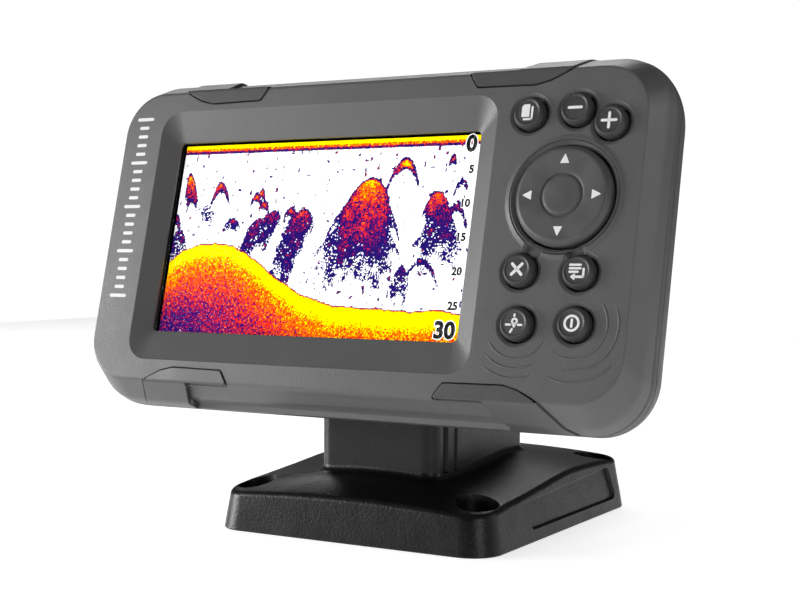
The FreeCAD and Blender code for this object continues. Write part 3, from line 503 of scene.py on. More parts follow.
@dataclass(frozen=True)
class SoftRubber:
    """Matt rubber or silicone with a bloom of dust in its pores."""
    name: str
    colour: Colour
    sheen: float = 0.55
    grain: float = 0.00025
    depth: float = 0.000012

    def make(self) -> bpy.types.Material:
        """Builds the material."""
        r = Recipe(self.name)
        fine, bloom = r.noise(self.grain, 4.0), r.noise(0.005, 4.0)
        pale = tuple(c * 1.5 + 0.004 for c in self.colour)
        tint = r.mix(r.span(bloom, 0.0, 0.5), self.colour, pale)
        return r.finish(Base_Color=tint, Roughness=r.span(bloom, self.sheen - 0.06, self.sheen + 0.06),
                        Normal=r.bump(fine, self.depth, r.edges(0.00015)), IOR=1.46)


class Direction(Enum):
    """The way a metal was brushed, as the stretch of its scratches on each axis."""
    ACROSS = (1.0, 30.0, 30.0)
    UP = (30.0, 30.0, 1.0)
    NONE = (8.0, 8.0, 8.0)


@dataclass(frozen=True)
class Metal:
    """Bare or plated metal with fine scratches and a little tarnish."""
    name: str
    colour: Colour
    sheen: float = 0.3
    brushed: Direction = Direction.NONE

    def make(self) -> bpy.types.Material:
        """Builds the material."""
        r = Recipe(self.name)
        stretch = r.add("Mapping", Vector=r.place(), Scale=self.brushed.value)
        lines = r.add("TexNoise", Vector=stretch.outputs[0], Scale=400.0, Detail=3.0).outputs[0]
        tarnish = r.noise(0.004, 4.0)
        dull = tuple(c * 0.7 for c in self.colour)
        tint = r.mix(r.span(tarnish, 0.0, 0.5), self.colour, dull)
        return r.finish(Base_Color=tint, Metallic=1.0,
                        Roughness=r.span(lines, self.sheen - 0.08, self.sheen + 0.12),
                        Normal=r.bump(lines, 0.000006, r.edges(0.0001)))


@dataclass(frozen=True)
class Board:
    """Circuit board: green mask over copper tracks on a right-angled grid."""
    name: str
    mask: Colour
    copper: Colour

    def make(self) -> bpy.types.Material:
        """Builds the material."""
        r = Recipe(self.name)
        cells = r.add("TexBrick", {"offset": 0.37}, Vector=r.place(), Scale=260.0, Mortar_Size=0.03,
                      Brick_Width=0.9, Row_Height=0.35, Color1=(0.0, 0.0, 0.0), Color2=(0.0, 0.0, 0.0),
                      Mortar=(1.0, 1.0, 1.0)).outputs[0]
        patches = r.noise(0.004, 2.0)
        track = r.math("MULTIPLY", cells, r.span(patches, 0.0, 1.0, 0.45, 0.5))
        return r.finish(Base_Color=r.mix(track, self.mask, self.copper), Roughness=r.span(patches, 0.3, 0.45),
                        Normal=r.bump(track, 0.00003))


@dataclass(frozen=True)
class Paint:
    """Printed or enamelled mark, a little uneven at fine scale."""
    name: str
    colour: Colour
    sheen: float = 0.5
    glow: float = 0.0

    def make(self) -> bpy.types.Material:
        """Builds the material."""
        r = Recipe(self.name)
        uneven = r.noise(0.0005, 3.0)
        dull = tuple(c * 0.93 for c in self.colour)
        tint = r.mix(r.span(uneven, 0.0, 1.0), self.colour, dull)
        extra = {"Emission_Color": tint, "Emission_Strength": self.glow} if self.glow else {}
        return r.finish(Base_Color=tint, Roughness=r.span(uneven, self.sheen - 0.05, self.sheen + 0.05),
                        **extra)


@dataclass(frozen=True)
class WindowGlass:
    """Clear hard-coated window."""
    name: str

    def make(self) -> bpy.types.Material:
        """Builds the material."""
        r = Recipe(self.name)
        smear = r.noise(0.02, 3.0)
        return r.finish(Base_Color=(1.0, 1.0, 1.0), Transmission_Weight=1.0, IOR=1.04,
                        Roughness=r.span(smear, 0.0, 0.01))


@dataclass(frozen=True)
class SonarColours:
    """Lit picture: echo strength against a palette, broken up cell by cell."""
    name: str
    columns: float = 300.0
    rows: float = 170.0
    glow: float = 0.66

    def make(self) -> bpy.types.Material:
        """Builds the material."""
        r = Recipe(self.name)
        spot = r.add("UVMap").outputs[0]
        cell = r.add("VectorMath", {"operation": "MULTIPLY"}, _0=spot, _1=(self.columns, self.rows, 1.0))
        cell = r.add("VectorMath", {"operation": "FLOOR"}, _0=cell.outputs[0]).outputs[0]
        chance = r.add("TexWhiteNoise", {"noise_dimensions": "2D"}, Vector=cell).outputs[0]
        drift = r.add("TexNoise", {"noise_dimensions": "2D"}, Vector=cell, Scale=0.5, Detail=2.0).outputs[0]
        jitter = r.math("ADD", r.math("MULTIPLY", r.math("SUBTRACT", chance, 0.5), 0.36),
                        r.math("MULTIPLY", r.math("SUBTRACT", drift, 0.5), 0.5))
        echo = r.add("Attribute", {"attribute_name": "echo"}).outputs["Fac"]
        sway = r.math("MINIMUM", r.math("MULTIPLY_ADD", echo, 1.7, 0.12), 1.0)
        level = r.math("MULTIPLY", r.math("MULTIPLY_ADD", jitter, sway, echo), 0.7)
        colour = r.ramp(level, [(0.0, (1.0, 1.0, 1.0)), (0.21, (0.012, 0.006, 0.13)), (0.40, (0.05, 0.004, 0.12)),
                                (0.47, (0.3, 0.008, 0.05)), (0.53, (0.7, 0.02, 0.012)), (0.62, (0.9, 0.1, 0.0)),
                                (0.7, (1.0, 0.3, 0.0)), (0.78, (1.0, 0.82, 0.0))], steps=True)
        return r.finish(Base_Color=colour, Roughness=0.4, Specular_IOR_Level=0.0, Emission_Color=colour,
                        Emission_Strength=self.glow)


class Finishes:
    """Every material of the object, made once."""

    def __init__(self) -> None:
        """Builds the materials."""
        self.housing = MouldedPlastic("housing_grey", (0.105, 0.105, 0.106), 0.4, 0.0005, 0.00006).make()
        self.rear = MouldedPlastic("rear_grey", (0.075, 0.075, 0.077), 0.5, 0.0006, 0.00003).make()
        self.accent = MouldedPlastic("accent_satin", (0.078, 0.078, 0.079), 0.34, 0.0003, 0.000008).make()
        # The stand's edges and flecks are lifted strongly: a painted highlight along its edges on the black.
        self.stand = MouldedPlastic("stand_black", (0.004, 0.004, 0.004), 0.34, 0.0007, 0.00009,
                                    worn=2.2, specular=0.34).make()
        self.key = SoftRubber("key_rubber", (0.04, 0.04, 0.041), 0.42).make()
        self.pad = SoftRubber("pad_rubber", (0.072, 0.072, 0.073), 0.4).make()
        self.foot = SoftRubber("foot_rubber", (0.02, 0.02, 0.02), 0.8, 0.0008, 0.00006).make()
        self.seal = SoftRubber("seal_rubber", (0.03, 0.03, 0.03), 0.6).make()
        self.steel = Metal("plated_steel", (0.62, 0.61, 0.6), 0.28).make()
        self.tin = Metal("tin_plate", (0.75, 0.75, 0.74), 0.32, Direction.ACROSS).make()
        self.brass = Metal("brass_post", (0.78, 0.56, 0.25), 0.3).make()
        self.gold = Metal("gold_contact", (1.0, 0.74, 0.32), 0.22).make()
        self.copper = Metal("copper_winding", (0.72, 0.32, 0.16), 0.35, Direction.UP).make()
        self.can = Metal("capacitor_can", (0.55, 0.57, 0.62), 0.3, Direction.ACROSS).make()
        self.nylon = MouldedPlastic("washer_nylon", (0.75, 0.73, 0.66), 0.4).make()
        self.ceramic = MouldedPlastic("ceramic", (0.62, 0.55, 0.42), 0.6).make()
        self.component = MouldedPlastic("component_black", (0.02, 0.02, 0.022), 0.5).make()
        self.film = MouldedPlastic("ribbon_film", (0.65, 0.35, 0.06), 0.3).make()
        self.panel = MouldedPlastic("panel_black", (0.004, 0.004, 0.005), 0.15, depth=0.000002,
                                    worn=1.0).make()
        self.board = Board("circuit_board", (0.02, 0.12, 0.05), (0.08, 0.3, 0.12)).make()
        self.glass = WindowGlass("lens_glass").make()
        self.mark = Paint("white_mark", (0.85, 0.85, 0.85)).make()
        self.ink = Paint("screen_ink", (0.004, 0.004, 0.004)).make()
        self.halo = Paint("screen_halo", (0.9, 0.9, 0.9), glow=0.9).make()
        self.sonar = SonarColours("sonar_colours").make()

    def dress_nodes(self) -> None:
        """Gives every node that still shows its own finish."""
        chosen = {
            "foot_pad": self.foot, "tilt_screw": self.steel, "tilt_nut": self.steel,
            "tilt_washers": self.nylon, "tilt_head": self.stand, "case_seal": self.seal,
            "screen_lens": self.glass, "screen_gasket": self.seal, "lcd_panel": self.panel,
            "backlight": self.tin, "main_board": self.board, "shield_can": self.tin,
            "gps_antenna": self.ceramic, "buzzer": self.component, "sonar_transformer": self.copper,
            "board_chips": self.component, "capacitors": self.can, "board_standoffs": self.brass,
            "keypad_mat": self.key, "keypad_board": self.board, "keypad_ribbon": self.film,
            "key_domes": self.gold, "pad_rocker": self.component, "socket_core": self.component,
        }
        for name, material in chosen.items():
            mesh = frame["nodes"][name].data
            mesh.materials.clear()
            mesh.materials.append(material)


# ---------------------------------------------------------------- repeated parts

class Layout(Enum):
    """How repeated parts are set out."""
    RING = "ring"
    ROW = "row"
    GRID = "grid"


@dataclass
class Repeater:
    """Sets copies of one small solid round a ring, along a row or on a grid, with geometry nodes."""
    layout: Layout
    count: int
    span: float
    other_span: float = 0.0
    start: float = 0.0
    every: int = 0
    stretch: float = 1.0

    def tree(self) -> bpy.types.GeometryNodeTree:
        """Builds the node group, with a named input for each size.

        Returns:
            The group.
        """
        group = bpy.data.node_groups.new("repeat_" + self.layout.value, "GeometryNodeTree")
        face = group.interface
        face.new_socket("Template", in_out="INPUT", socket_type="NodeSocketObject")
        face.new_socket("Count", in_out="INPUT", socket_type="NodeSocketInt")
        for name in ("Span", "Other Span", "Start", "Stretch"):
            face.new_socket(name, in_out="INPUT", socket_type="NodeSocketFloat")
        face.new_socket("Every", in_out="INPUT", socket_type="NodeSocketInt")
        face.new_socket("Finish", in_out="INPUT", socket_type="NodeSocketMaterial")
        face.new_socket("Geometry", in_out="OUTPUT", socket_type="NodeSocketGeometry")
        nodes, links = group.nodes, group.links
        given = nodes.new("NodeGroupInput").outputs
        angle = nodes.new("ShaderNodeCombineXYZ")
        if self.layout is Layout.RING:
            points = nodes.new("GeometryNodeMeshCircle")
            links.new(given["Count"], points.inputs["Vertices"])
            links.new(given["Span"], points.inputs["Radius"])
            step = self.sum(group, "DIVIDE", 2 * math.pi, given["Count"])
            turn = self.sum(group, "MULTIPLY", nodes.new("GeometryNodeInputIndex").outputs[0], step)
            links.new(turn, angle.inputs[2])
        elif self.layout is Layout.ROW:
            points = nodes.new("GeometryNodeMeshLine")
            points.mode = "END_POINTS"
            links.new(given["Count"], points.inputs["Count"])
            end = nodes.new("ShaderNodeCombineXYZ")
            links.new(given["Span"], end.inputs[1])
            links.new(end.outputs[0], points.inputs[3])
        else:
            points = nodes.new("GeometryNodeMeshGrid")
            links.new(given["Span"], points.inputs["Size X"])
            links.new(given["Other Span"], points.inputs["Size Y"])
            for side in ("Vertices X", "Vertices Y"):
                points.inputs[side].default_value = 2
        template = nodes.new("GeometryNodeObjectInfo")
        links.new(given["Template"], template.inputs["Object"])
        copies = nodes.new("GeometryNodeInstanceOnPoints")
        links.new(points.outputs["Mesh"], copies.inputs["Points"])
        links.new(template.outputs["Geometry"], copies.inputs["Instance"])
        links.new(angle.outputs[0], copies.inputs["Rotation"])
        place = self.sum(group, "MODULO", nodes.new("GeometryNodeInputIndex").outputs[0], given["Every"])
        first = self.sum(group, "LESS_THAN", place, 0.5)
        longer = self.sum(group, "MULTIPLY", first, self.sum(group, "SUBTRACT", given["Stretch"], 1.0))
        scale = nodes.new("ShaderNodeCombineXYZ")
        links.new(self.sum(group, "ADD", longer, 1.0), scale.inputs[0])
        for k in (1, 2):
            scale.inputs[k].default_value = 1.0
        links.new(scale.outputs[0], copies.inputs["Scale"])
        whole = nodes.new("GeometryNodeTransform")
        links.new(copies.outputs[0], whole.inputs[0])
        spin = nodes.new("ShaderNodeCombineXYZ")
        links.new(given["Start"], spin.inputs[2])
        links.new(spin.outputs[0], whole.inputs["Rotation"])
        real = nodes.new("GeometryNodeRealizeInstances")
        links.new(whole.outputs[0], real.inputs[0])
        dress = nodes.new("GeometryNodeSetMaterial")
        links.new(real.outputs[0], dress.inputs["Geometry"])
        links.new(given["Finish"], dress.inputs["Material"])
        links.new(dress.outputs[0], nodes.new("NodeGroupOutput").inputs[0])
        return group

    @staticmethod
    def sum(group: bpy.types.GeometryNodeTree, operation: str, first: object, second: object) -> object:
        """A Math node in a group."""
        node = group.nodes.new("ShaderNodeMath")
        node.operation = operation
        for k, value in enumerate((first, second)):
            if isinstance(value, bpy.types.NodeSocket):
                group.links.new(value, node.inputs[k])
            else:
                node.inputs[k].default_value = value
        return node.outputs[0]

    def build(self, template: bpy.types.Object, finish: bpy.types.Material) -> bpy.types.Object:
        """Makes the copies as one plain mesh in the plane of x and y.

        Args:
            template: The small solid, used up.
            finish: Its material.

        Returns:
            The object.
        """
        group = self.tree()
        host = bpy.data.objects.new("tool", bpy.data.meshes.new("tool"))
        bpy.context.scene.collection.objects.link(host)
        step = host.modifiers.new("repeat", "NODES")
        step.node_group = group
        values = {"Template": template, "Count": self.count, "Span": self.span, "Other Span": self.other_span,
                  "Start": self.start, "Stretch": self.stretch, "Every": max(self.every, 1), "Finish": finish}
        if not self.every:
            values["Stretch"] = 1.0
        for item in group.interface.items_tree:
            if item.in_out == "INPUT":
                step[item.identifier] = values[item.name]
        settle(host)
        bpy.data.objects.remove(template)
        return host


# ---------------------------------------------------------------- housing

@dataclass
class Housing:
    """Front moulding with its four inserts, and what is printed and moulded on its face."""
    finishes: Finishes
    face_forward: float = 4.3
    bezel_back: float = 8.0
    side_bevel: float = 2.5
    edge_bevel: float = 5.6
    face_corner: float = 12.0
    body_corner: float = 13.5
    front_wall: float = 3.5
    wall: float = 2.5
    crease: Pair = (0.62, 0.83)
    insert_depth: float = 1.4
    insert_rise: float = 0.35
    insert_groove: float = 0.4
    key_well: float = 5.15
    key_hole: float = 4.35
    pad_ring: float = 14.1
    pad_hole: float = 12.95
    recess: tuple[float, float, float] = (106.8, 71.0, 6.0)
    window: tuple[float, float, float] = (96.4, 54.6, 1.5)

    def __post_init__(self) -> None:
        """Takes the overall size from the bezel's own node."""
        low, high = unit_box("front_bezel")
        self.width, self.height = high.x - low.x, high.z - low.z
        self.edge, self.side = self.height / 2 - self.edge_bevel, self.width / 2 - self.side_bevel
        self.screen_x = unit_middle("screen_lens")[0]

    def stations(self) -> list[Pair]:
        """(share of the depth, share of the spread) down the bevel, eased at its two turns."""
        turn = Vector(self.crease)
        made = [(0.0, -0.12), (0.004, -0.03), (0.016, 0.028), (0.04, 0.062)]
        before, after = Vector((0.04, 0.062)), Vector((1.0, 1.0))
        start, end = turn + (before - turn) * 0.16, turn + (after - turn) * 0.28
        for k in range(7):
            t = k / 6
            made.append(tuple(start * (1 - t) ** 2 + turn * 2 * t * (1 - t) + end * t ** 2))
        made += [(0.955, 0.985), (0.985, 0.99), (1.0, 0.965)]
        return made

    def shell(self, rise: float = 0.0, shift: float = 0.0) -> bpy.types.Object:
        """The bezel's outer body, grown up and down by a rise and forward by a shift."""
        depth = self.face_forward + shift + self.bezel_back
        loops = []
        for share, spread in self.stations():
            forward = self.face_forward + shift - share * depth
            width = self.width - 2 * self.side_bevel * (1 - spread)
            height = self.height - 2 * self.edge_bevel * (1 - spread) + 2 * rise
            corner = self.face_corner + (self.body_corner - self.face_corner) * spread
            loops.append(front_loop(rounded(width, height, corner, 20), forward))
        return skin(loops)

    def insert_region(self, right: int, top: int, grow: float = 0.0) -> bpy.types.Object:
        """A patch of the face joined to a leg across the bevel, in one of the four corners."""
        edge, side, front = self.edge, self.side, self.face_forward
        patch = [(side - 48.8, edge + 0.3), (side - 46.2, edge - 3.4), (side - 30.0, edge - 3.6),
                 (side - 26.0, edge - 2.6), (side - 19.9, edge + 0.3)]
        neck = [(side - 34.6, edge - 1.0), (side - 34.6, edge + 1.3), (side - 21.3, edge + 1.3),
                (side - 21.7, edge), (side - 23.4, edge - 1.0)]
        leg = [(side - 35.2, front + 0.6), (side - 31.9, -7.4), (side - 18.5, -7.4),
               (side - 20.7, front + 0.6)]
        if top < 0:
            leg = [(side - 35.2, front + 0.6), (side - 30.8, -4.4), (side - 31.4, -5.2), (side - 31.4, -7.4),
                   (side - 14.1, -7.4), (side - 20.7, front + 0.6)]
        place = lambda a, b, level: at(right * a, level, top * b)
        return carve(prism(softened(grown(patch, grow), 0.8), front - 3, front + 3, place), Join.ADD,
                     prism(grown(neck, grow), front - 2.9, front + 2.9, place),
                     prism(grown(leg, grow), edge - 0.05, edge + 12,
                           lambda a, b, level: at(right * a, b, top * level)))

    def corners(self) -> Iterable[tuple[str, int, int]]:
        """The four corners' names and signs."""
        return (("top_right", 1, 1), ("top_left", -1, 1), ("bottom_right", 1, -1), ("bottom_left", -1, -1))

    def well(self, x: float, z: float, rim: float, floor: float, hole: float) -> bpy.types.Object:
        """Cutter for a dished well and the hole in it."""
        front = self.face_forward
        inside = front - self.front_wall - 1
        profile = [(rim + 1.0, front + 0.5), (rim + 0.55, front + 0.02), (rim + 0.3, front - 0.08),
                   (rim - 0.35, front - 0.42), (rim - 0.55, front - 0.6), (floor + 0.12, front - 1.9),
                   (floor - 0.05, front - 2.1), (hole + 0.1, front - 2.15), (hole, front - 2.3), (hole, inside)]
        return lathe(profile, x, z, parts=72)

    def throat(self, start: Pair, end: Pair) -> bpy.types.Object:
        """Cutter for the short bevelled channel from the pad's well to a key's well."""
        along = (Vector(end) - Vector(start)).normalized()
        middle, turn = Vector(start) + along * 15.4, math.atan2(along.y, along.x)
        loops = []
        for width, down in ((5.9, -0.5), (5.0, -0.02), (3.9, 0.6), (3.2, 1.3)):
            outline = [Matrix.Rotation(turn, 2) @ Vector(point) for point in rounded(4.6, width, 0.6, 4)]
            loops.append(front_loop([tuple(point + middle) for point in outline], self.face_forward - down))
        return skin(loops)

    def build(self) -> None:
        """Makes the front shell, its inserts and its marks."""
        bezel = self.shell()
        front, back = self.face_forward, -self.bezel_back
        inside = front - self.front_wall
        cavity = skin([front_loop(rounded(2 * self.side - 2 * self.wall, 2 * self.edge - 2 * self.wall,
                                          self.face_corner - self.wall), f) for f in (inside, back - 1)])
        step = skin([front_loop(rounded(self.width - 2 * self.wall - 1, self.height - 2 * self.wall - 1,
                                        self.body_corner - self.wall), f) for f in (-4.0, back - 1)])
        carve(bezel, Join.CUT, cavity, step, *self.band())
        carve(bezel, Join.CUT, *self.screen_recess())
        keys = [unit_middle(name) for name in KEY_ICONS]
        wells = [self.well(x, z, self.key_well, 4.7, self.key_hole) for x, z in keys]
        pad_x, pad_z = unit_middle("pad_cap")
        lip = lathe([(16.1, front - 0.4), (15.9, front), (15.5, front + 0.06), (self.pad_ring, front + 0.5),
                     (self.pad_ring - 0.25, front + 0.52), (12.6, front + 0.3), (12.6, front - 1.0)],
                    pad_x, pad_z, parts=128)
        carve(bezel, Join.ADD, lip)
        wells.append(self.well(pad_x, pad_z, self.pad_hole + 0.7, 13.2, self.pad_hole))
        wells += [self.throat((pad_x, pad_z), unit_middle(name)) for name in ("key_cancel", "key_menu")]
        carve(bezel, Join.CUT, *wells)
        for name, right, top in self.corners():
            seat = self.insert_region(right, top, self.insert_groove)
            carve(bezel, Join.CUT, carve(seat, Join.CUT, self.shell(-self.insert_depth, -self.insert_depth)))
            insert = carve(self.insert_region(right, top), Join.KEEP_COMMON,
                           self.shell(self.insert_rise, self.insert_rise))
            carve(insert, Join.CUT, self.shell(-self.insert_depth + 0.05, -self.insert_depth + 0.05))
            Part("display", "accent", (name + "_insert",)).add(
                bevelled(insert, 0.14), name + "_accent", self.finishes.accent, UNIT, 40.0)
        Part("display", "housing", ("front_bezel",)).add(
            bezel, "front_shell", self.finishes.housing, UNIT, 24.0)
        self.scale_marks()
        self.contours()

    def band(self) -> list[bpy.types.Object]:
        """Cutters for the channels between the inserts: a step at the edge, then a bed along the bevel."""
        depth = self.face_forward + self.bezel_back
        made = []
        for top in (1, -1):
            loops = []
            for forward, down in ((5.0, 0.0), (4.3, 0.0), (3.0, 0.02), (2.7, 0.3), (2.4, 1.3), (0.5, 1.45),
                                  (-1.2, 1.5), (-2.9, 1.5), (-3.7, 1.45), (-6.2, 1.45), (-7.0, 1.2), (-7.4, 0.3)):
                skin_z = self.surface((self.face_forward - forward) / depth)
                down *= 1.0 if top < 0 else 0.4
                low, high = skin_z - down, skin_z + 3.0
                run = self.side - 35.4 + (4.3 - forward) * (0.28 if top > 0 else 0.52)
                spread = (high - low) * 1.1
                loops.append([at(x, forward, top * z) for x, z in
                              ((-run, low), (run, low), (run + spread, high), (-run - spread, high))])
            made.append(skin(loops))
        return made

    def surface(self, share: float) -> float:
        """Height of the top bevel above the middle, at a share of the bezel's depth."""
        stations = [(a, b) for a, b in self.stations() if a >= 0.04]
        share = max(share, stations[0][0])
        for (a, low), (b, high) in zip(stations, stations[1:]):
            if share <= b:
                spread = low + (high - low) * (share - a) / (b - a)
                return self.height / 2 - self.edge_bevel * (1 - spread)
        return self.height / 2

    def screen_recess(self) -> list[bpy.types.Object]:
        """Cutters for the sloping recess round the screen and the window in its floor."""
        width, height, corner = self.recess
        inner_width, inner_height, inner_corner = self.window
        front = self.face_forward
        loops = []
        for out, down in ((0.9, -0.5), (0.35, -0.02), (0.1, 0.08), (-0.15, 0.22)):
            loops.append(front_loop(rounded(width + 2 * out, height + 2 * out, corner + out, 14),
                                    front - down, self.screen_x))
        for share, down in ((0.9, 2.45), (1.0, 2.75)):
            size = [a + (b - a) * share for a, b in
                    ((width, inner_width), (height, inner_height), (corner, inner_corner))]
            loops.append(front_loop(rounded(*size, 14), front - down, self.screen_x))
        loops.append(front_loop(rounded(inner_width, inner_height, inner_corner, 14), -1.0, self.screen_x))
        return [skin(loops)]

    def scale_marks(self) -> None:
        """White depth scale printed down the left margin of the face."""
        bar = prism(rounded(3.4, 0.95, 0.4, 4), 0.0, 0.05, upright)
        marks = Repeater(Layout.ROW, 21, 52.0, every=5, stretch=1.75).build(bar, self.finishes.mark)
        # The row runs up the face from its lowest mark, and its plane is turned to face forward.
        place = facing(-73.6, self.face_forward - 0.01, -18.0, 1)
        marks.data.transform(place)
        Part("display", "housing").add(marks, "depth_scale", self.finishes.mark, UNIT)

    def contours(self) -> None:
        """Faint raised depth contours below and beside the lower keys."""
        families = (("key_power", (8.2, 11.0, 13.8), (-128, 50), (-100, 28), (-118, -42)),
                    ("key_mark", (8.2, 10.6, 13.0), (205, 335), (222, 300), (232, 292)))
        bm = bmesh.new()
        for key, radii, *spans in families:
            x, z = unit_middle(key)
            for radius, (start, end) in zip(radii, spans):
                self.ridge(bm, x, z, radius, start, end)
        Part("display", "housing").add(solid(bm, "tool"), "contour_ridges", self.finishes.housing, UNIT)

    def ridge(self, bm: bmesh.types.BMesh, x: float, z: float, radius: float, start: float, end: float) -> None:
        """Adds one raised arc of the face, with a round-topped section that tapers at its ends."""
        steps = 48
        rows = []
        for k in range(steps + 1):
            turn = math.radians(start + (end - start) * k / steps)
            size = min(1.0, 6 * min(k, steps - k) / steps + 0.15)
            section = [(-0.3, -0.05), (-0.19, 0.14), (0.0, 0.2), (0.19, 0.14), (0.3, -0.05)]
            rows.append([bm.verts.new(at(x + (radius + a * size) * math.cos(turn), self.face_forward + f * size,
                                         z + (radius + a * size) * math.sin(turn))) for a, f in section])
        for row, following in zip(rows, rows[1:]):
            Strokes.wall(bm, row, following)
        for row in (rows[0], rows[-1]):
            bm.faces.new(row)


def grown(points: Sequence[Pair], by: float) -> list[Pair]:
    """A polygon with every side moved outwards.

    Args:
        points: The polygon's corners, either way round.
        by: Distance that the sides move.

    Returns:
        The new corners.
    """
    if not by:
        return list(points)
    count = len(points)
    area = sum(points[k][0] * points[(k + 1) % count][1] - points[(k + 1) % count][0] * points[k][1]
               for k in range(count))
    sign = 1.0 if area > 0 else -1.0
    made = []
    for k in range(count):
        before, here, after = (Vector(points[(k + d) % count]) for d in (-1, 0, 1))
        first, second = (here - before).normalized(), (after - here).normalized()
        out_first = Vector((first.y, -first.x)) * sign
        out_second = Vector((second.y, -second.x)) * sign
        middle = (out_first + out_second).normalized()
        made.append(tuple(here + middle * (by / max(0.3, middle.dot(out_first)))))
    return made


# ---------------------------------------------------------------- keypad

class Strokes:
    """Flat marks on a key's top, drawn as thin solids in (right, up) millimetres from its middle."""

    def __init__(self) -> None:
        """Starts with nothing drawn."""
        self.weight = 0.07
        self.outlines: list[list[Pair]] = []
        self.rings: list[tuple[float, float, float, float]] = []

    def bar(self, start: Pair, end: Pair, width: float) -> "Strokes":
        """A straight stroke with round ends."""
        a, b = Vector(start), Vector(end)
        along = math.atan2(b.y - a.y, b.x - a.x)
        outline = []
        for middle, first in ((b, -90), (a, 90)):
            for k in range(7):
                turn = along + math.radians(first + 30 * k)
                outline.append((middle.x + width / 2 * math.cos(turn), middle.y + width / 2 * math.sin(turn)))
        self.outlines.append(outline)
        return self

    def shape(self, *points: Pair, round_off: float = 0.12) -> "Strokes":
        """A filled polygon with slightly round corners."""
        self.outlines.append(softened(points, round_off, 3))
        return self

    def ring(self, x: float, z: float, radius: float, width: float) -> "Strokes":
        """A closed ring."""
        self.rings.append((x, z, radius - width / 2, radius + width / 2))
        return self

    def build(self, x: float, z: float, forward: float, thickness: float = 0.05) -> bpy.types.Object:
        """Makes the marks at a place on the face.

        Args:
            x: Middle of the key, to the right.
            z: Middle of the key, up.
            forward: Level of the key's top.
            thickness: How far the marks stand up.

        Returns:
            The object.
        """
        bm = bmesh.new()
        for outline in self.outlines:
            outline = grown(outline, self.weight)
            rows = [[bm.verts.new(at(x + a, forward + up, z + b)) for a, b in outline]
                    for up in (-0.02, thickness)]
            self.wall(bm, *rows)
            for row in rows:
                bm.faces.new(row)
        for ring_x, ring_z, inner, outer in self.rings:
            turns = [2 * math.pi * k / 40 for k in range(40)]
            rows = [[bm.verts.new(at(x + ring_x + r * math.cos(t), forward + up, z + ring_z + r * math.sin(t)))
                     for t in turns]
                    for r, up in ((inner - self.weight, -0.02), (inner - self.weight, thickness),
                                  (outer + self.weight, thickness), (outer + self.weight, -0.02))]
            for row, following in zip(rows, rows[1:] + rows[:1]):
                self.wall(bm, row, following)
        return solid(bm, "tool")

    @staticmethod
    def wall(bm: bmesh.types.BMesh, low: list, high: list) -> None:
        """Joins two rows of vertices all round."""
        for k in range(len(low)):
            j = (k + 1) % len(low)
            bm.faces.new((low[k], low[j], high[j], high[k]))


# What is printed on each key
KEY_ICONS = {
    "key_pages": Strokes().shape((-1.5, -1.2), (0.5, -1.2), (0.5, 1.9), (-1.0, 1.9), (-1.5, 1.3))
    .bar((-0.8, -1.85), (1.25, -1.85), 0.4).bar((1.25, -1.85), (1.25, 1.2), 0.4),
    "key_minus": Strokes().bar((-1.6, 0), (1.6, 0), 0.55),
    "key_plus": Strokes().bar((-1.8, 0), (1.8, 0), 0.55).bar((0, -1.8), (0, 1.8), 0.56),
    "key_cancel": Strokes().bar((-1.3, -1.3), (1.3, 1.3), 0.62).bar((-1.3, 1.3), (1.3, -1.3), 0.63),
    "key_menu": Strokes().bar((-1.8, 1.5), (0.9, 1.5), 0.42).bar((-1.8, 0.65), (0.9, 0.65), 0.42)
    .bar((-1.8, -0.2), (0.3, -0.2), 0.42).bar((1.75, 0.5), (1.75, -1.4), 0.46)
    .bar((1.75, -1.4), (-0.4, -1.4), 0.46)
    .shape((-1.5, -1.4), (-0.4, -0.6), (-0.4, -2.2)),
    "key_mark": Strokes().ring(0.15, 0.45, 0.62, 0.4).shape((-0.6, 0.1), (0.9, 0.1), (0.15, -1.2))
    .bar((-2.0, -0.4), (-0.9, -0.4), 0.4).bar((1.2, -0.4), (2.1, -0.4), 0.4)
    .bar((0.0, 1.75), (0.0, 2.1), 0.4).bar((-0.3, -1.5), (-0.7, -2.2), 0.4),
    "key_power": Strokes().ring(0, 0, 1.75, 0.46).bar((0, -0.8), (0, 0.8), 0.5),
}


